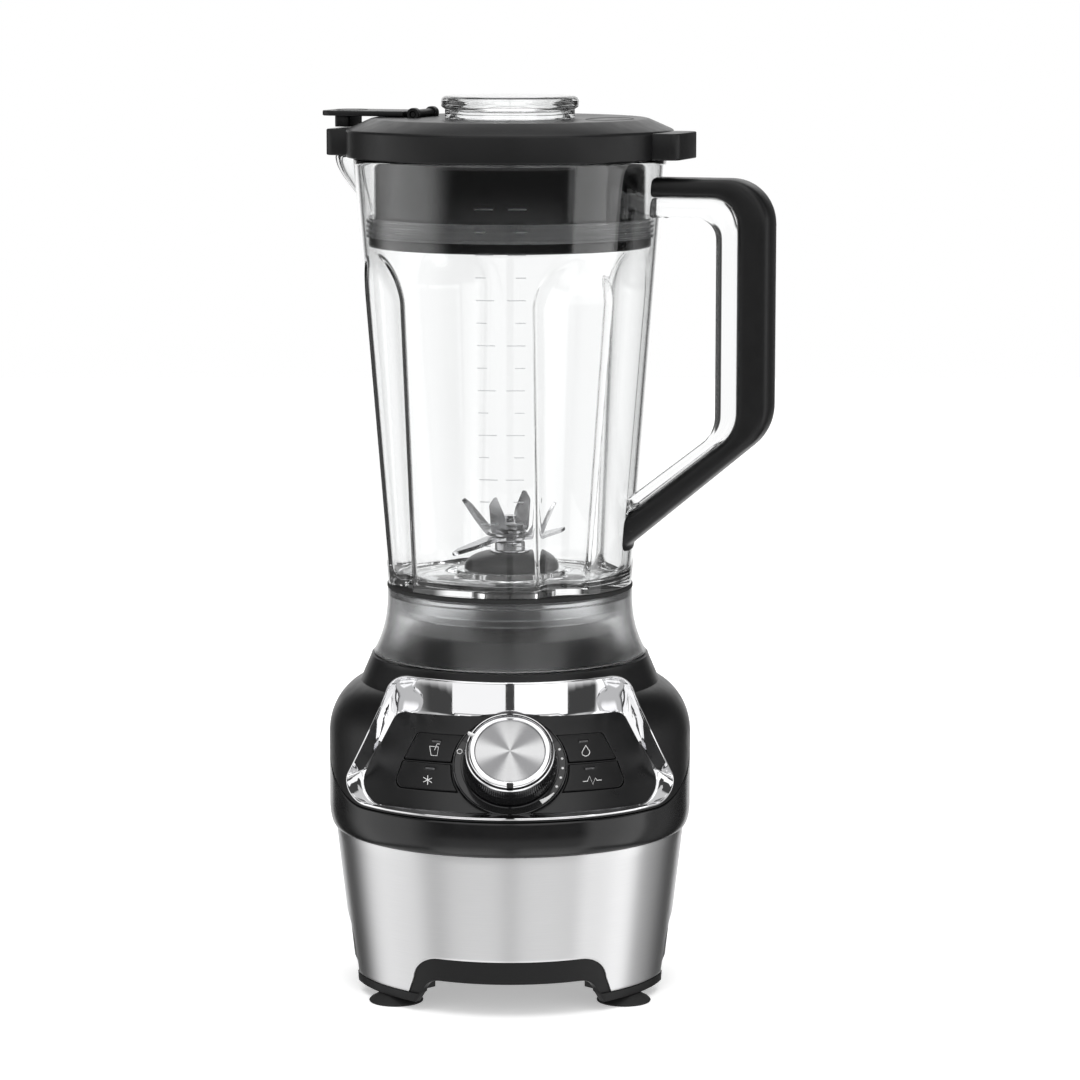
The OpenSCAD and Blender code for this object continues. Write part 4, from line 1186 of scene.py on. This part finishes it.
def gland():
    across = moved(0, 0, 35) @ Matrix.Rotation(-pi / 2, 4, "X")
    sleeve = [(3.6, 71), (3.9, 70.7), (7.6, 70.7), (8, 71.1), (8, 81.0), (8, 83.2), (9.8, 83.2), (10, 83.5),
              (9.6, 84.5),
              (8.8, 84.9), (4.2, 84.9), (3.6, 84.2)]
    place(lathe("gland_sleeve", sleeve, 64, across), "rubber", "base", ["cord_gland"], 30)


jug_vessel()
handle()
collar()
scale()
hub()
blades()
lid_cover()
lid_plug()
pour_flap()
measuring_cap()
seat()
coupling()
gland()

# ------------------------------------------------------------------ camera, room and light

def camera():
    tilt = radians(8.15)
    data = bpy.data.cameras.new("camera")
    data.lens = 135
    data.sensor_width = 36
    data.shift_x = 0.0278
    ob = bpy.data.objects.new("camera", data)
    ob.location = (0, -2.042 * cos(tilt), 0.2271 + 2.042 * sin(tilt))
    ob.rotation_euler = (pi / 2 - tilt, 0, 0)
    bpy.context.scene.collection.objects.link(ob)
    bpy.context.scene.camera = ob


# Soft boxes round the room, as (centre, half width, edge) of azimuth and of height in degrees, and a
# brightness. Azimuth 0 looks along -Y, towards the camera; + is to the right.
BOXES = [
    ((180, 24, 8), (0, 40, 8), 1.0),
    ((73, 23, 3), (-12, 24, 6), 1.15),
    ((100, 24, 30), (-12, 24, 8), 0.35),
    ((-88, 30, 26), (-12, 24, 8), 1.05),
    ((0, 50, 22), (-28, 12, 8), 0.62),
    ((33, 27, 3), (-48, 14, 6), 0.8),
    ((-33, 27, 3), (-48, 14, 6), 0.8),
    ((29, 26, 2), (31, 29, 6), 1.3),
    ((-29, 26, 2), (31, 29, 6), 1.1),
    ((97, 9, 5), (30, 30, 10), 0.6),
    ((-97, 9, 5), (30, 30, 10), 0.6),
]


def room():
    world = bpy.data.worlds.new("room")
    world.use_nodes = True
    bpy.context.scene.world = world
    n = Nodes(world.node_tree)
    xyz = n.add("ShaderNodeSeparateXYZ", Vector=n.add("ShaderNodeTexCoord").outputs["Generated"])
    x, y, z = xyz.outputs
    azimuth = n.math("ARCTAN2", x, n.math("MULTIPLY", y, -1.0))
    azimuth = n.math("MULTIPLY", azimuth, 180 / pi)
    height = n.math("MULTIPLY", n.math("ARCSINE", z), 180 / pi)
    light = n.math("ADD", n.remap(height, 48.0, 66.0, 0.0, 1.5, True),
                   n.remap(height, -36.0, -50.0, 0.0, 0.8, True))
    light = n.math("ADD", light, 0.06)
    for (middle, half, edge), (rise, tall, fade), strength in BOXES:
        off = n.math("SUBTRACT", azimuth, float(middle))
        if middle > 170:
            off = n.math("SUBTRACT", n.math("ABSOLUTE", azimuth), 180.0)
        off = n.math("ABSOLUTE", off)
        across = n.remap(off, half - edge / 2, half + edge / 2, 1.0, 0.0, True)
        lift = n.math("ABSOLUTE", n.math("SUBTRACT", height, float(rise)))
        upright = n.remap(lift, tall - fade / 2, tall + fade / 2, 1.0, 0.0, True)
        light = n.math("ADD", light, n.math("MULTIPLY", n.math("MULTIPLY", across, upright), strength))
    seen = n.add("ShaderNodeLightPath").outputs["Is Camera Ray"]
    light = n.math("ADD", n.math("MULTIPLY", light, n.math("SUBTRACT", 1.0, seen)), seen)
    back = n.add("ShaderNodeBackground", Color=(1, 1, 1, 1), Strength=light)
    n.add("ShaderNodeOutputWorld", Surface=back.outputs[0])


def floor():
    half = 3000
    ob = make("floor", [(-half, -half, 0), (half, -half, 0), (half, half, 0), (-half, half, 0)],
              [(0, 1, 2, 3)])
    mat = bpy.data.materials.new("floor")
    mat.use_nodes = True
    n = Nodes(mat.node_tree)
    paint = n.add("ShaderNodeBsdfDiffuse", Color=(0.9, 0.9, 0.9, 1))
    glow = n.add("ShaderNodeEmission", Color=(1, 1, 1, 1), Strength=0.40)
    both = n.add("ShaderNodeAddShader", i0=paint.outputs[0], i1=glow.outputs[0])
    n.add("ShaderNodeOutputMaterial", Surface=both.outputs[0])
    ob.data.materials.append(mat)
    ob.visible_glossy = False
    ob.visible_transmission = False


def lamp(name, place_mm, target_mm, size, power):
    data = bpy.data.lights.new(name, "AREA")
    data.shape = "RECTANGLE"
    data.size, data.size_y = size
    data.energy = power
    ob = bpy.data.objects.new(name, data)
    ob.location = Vector(place_mm) * MM
    ob.rotation_euler = (Vector(target_mm) - Vector(place_mm)).to_track_quat("-Z", "Y").to_euler()
    ob.visible_glossy = False
    bpy.context.scene.collection.objects.link(ob)


def card(name, x0, x1, strength):
    """A bright card near the base that only reflections see: it lights the plated tray's back wall."""
    y, low, high = -300, 96, 190
    ob = make(name, [(x0, y, low), (x1, y, low), (x1, y, high), (x0, y, high)], [(0, 1, 2, 3)])
    mat = bpy.data.materials.new(name)
    mat.use_nodes = True
    n = Nodes(mat.node_tree)
    glow = n.add("ShaderNodeEmission", Color=(1, 1, 1, 1), Strength=strength)
    n.add("ShaderNodeOutputMaterial", Surface=glow.outputs[0])
    ob.data.materials.append(mat)
    ob.visible_camera = ob.visible_diffuse = ob.visible_transmission = ob.visible_shadow = False


camera()
room()
floor()
card("card_right", 13, 190, 1.3)
card("card_left", -190, -13, 1.1)
lamp("over", (0, -300, 1900), (0, 0, 100), (1.6, 1.6), 14)

scene = bpy.context.scene
scene.view_settings.view_transform = "Standard"
scene.cycles.use_denoising = True
scene.cycles.max_bounces = 24
scene.cycles.transmission_bounces = 24
scene.cycles.transparent_max_bounces = 16
scene.cycles.glossy_bounces = 8
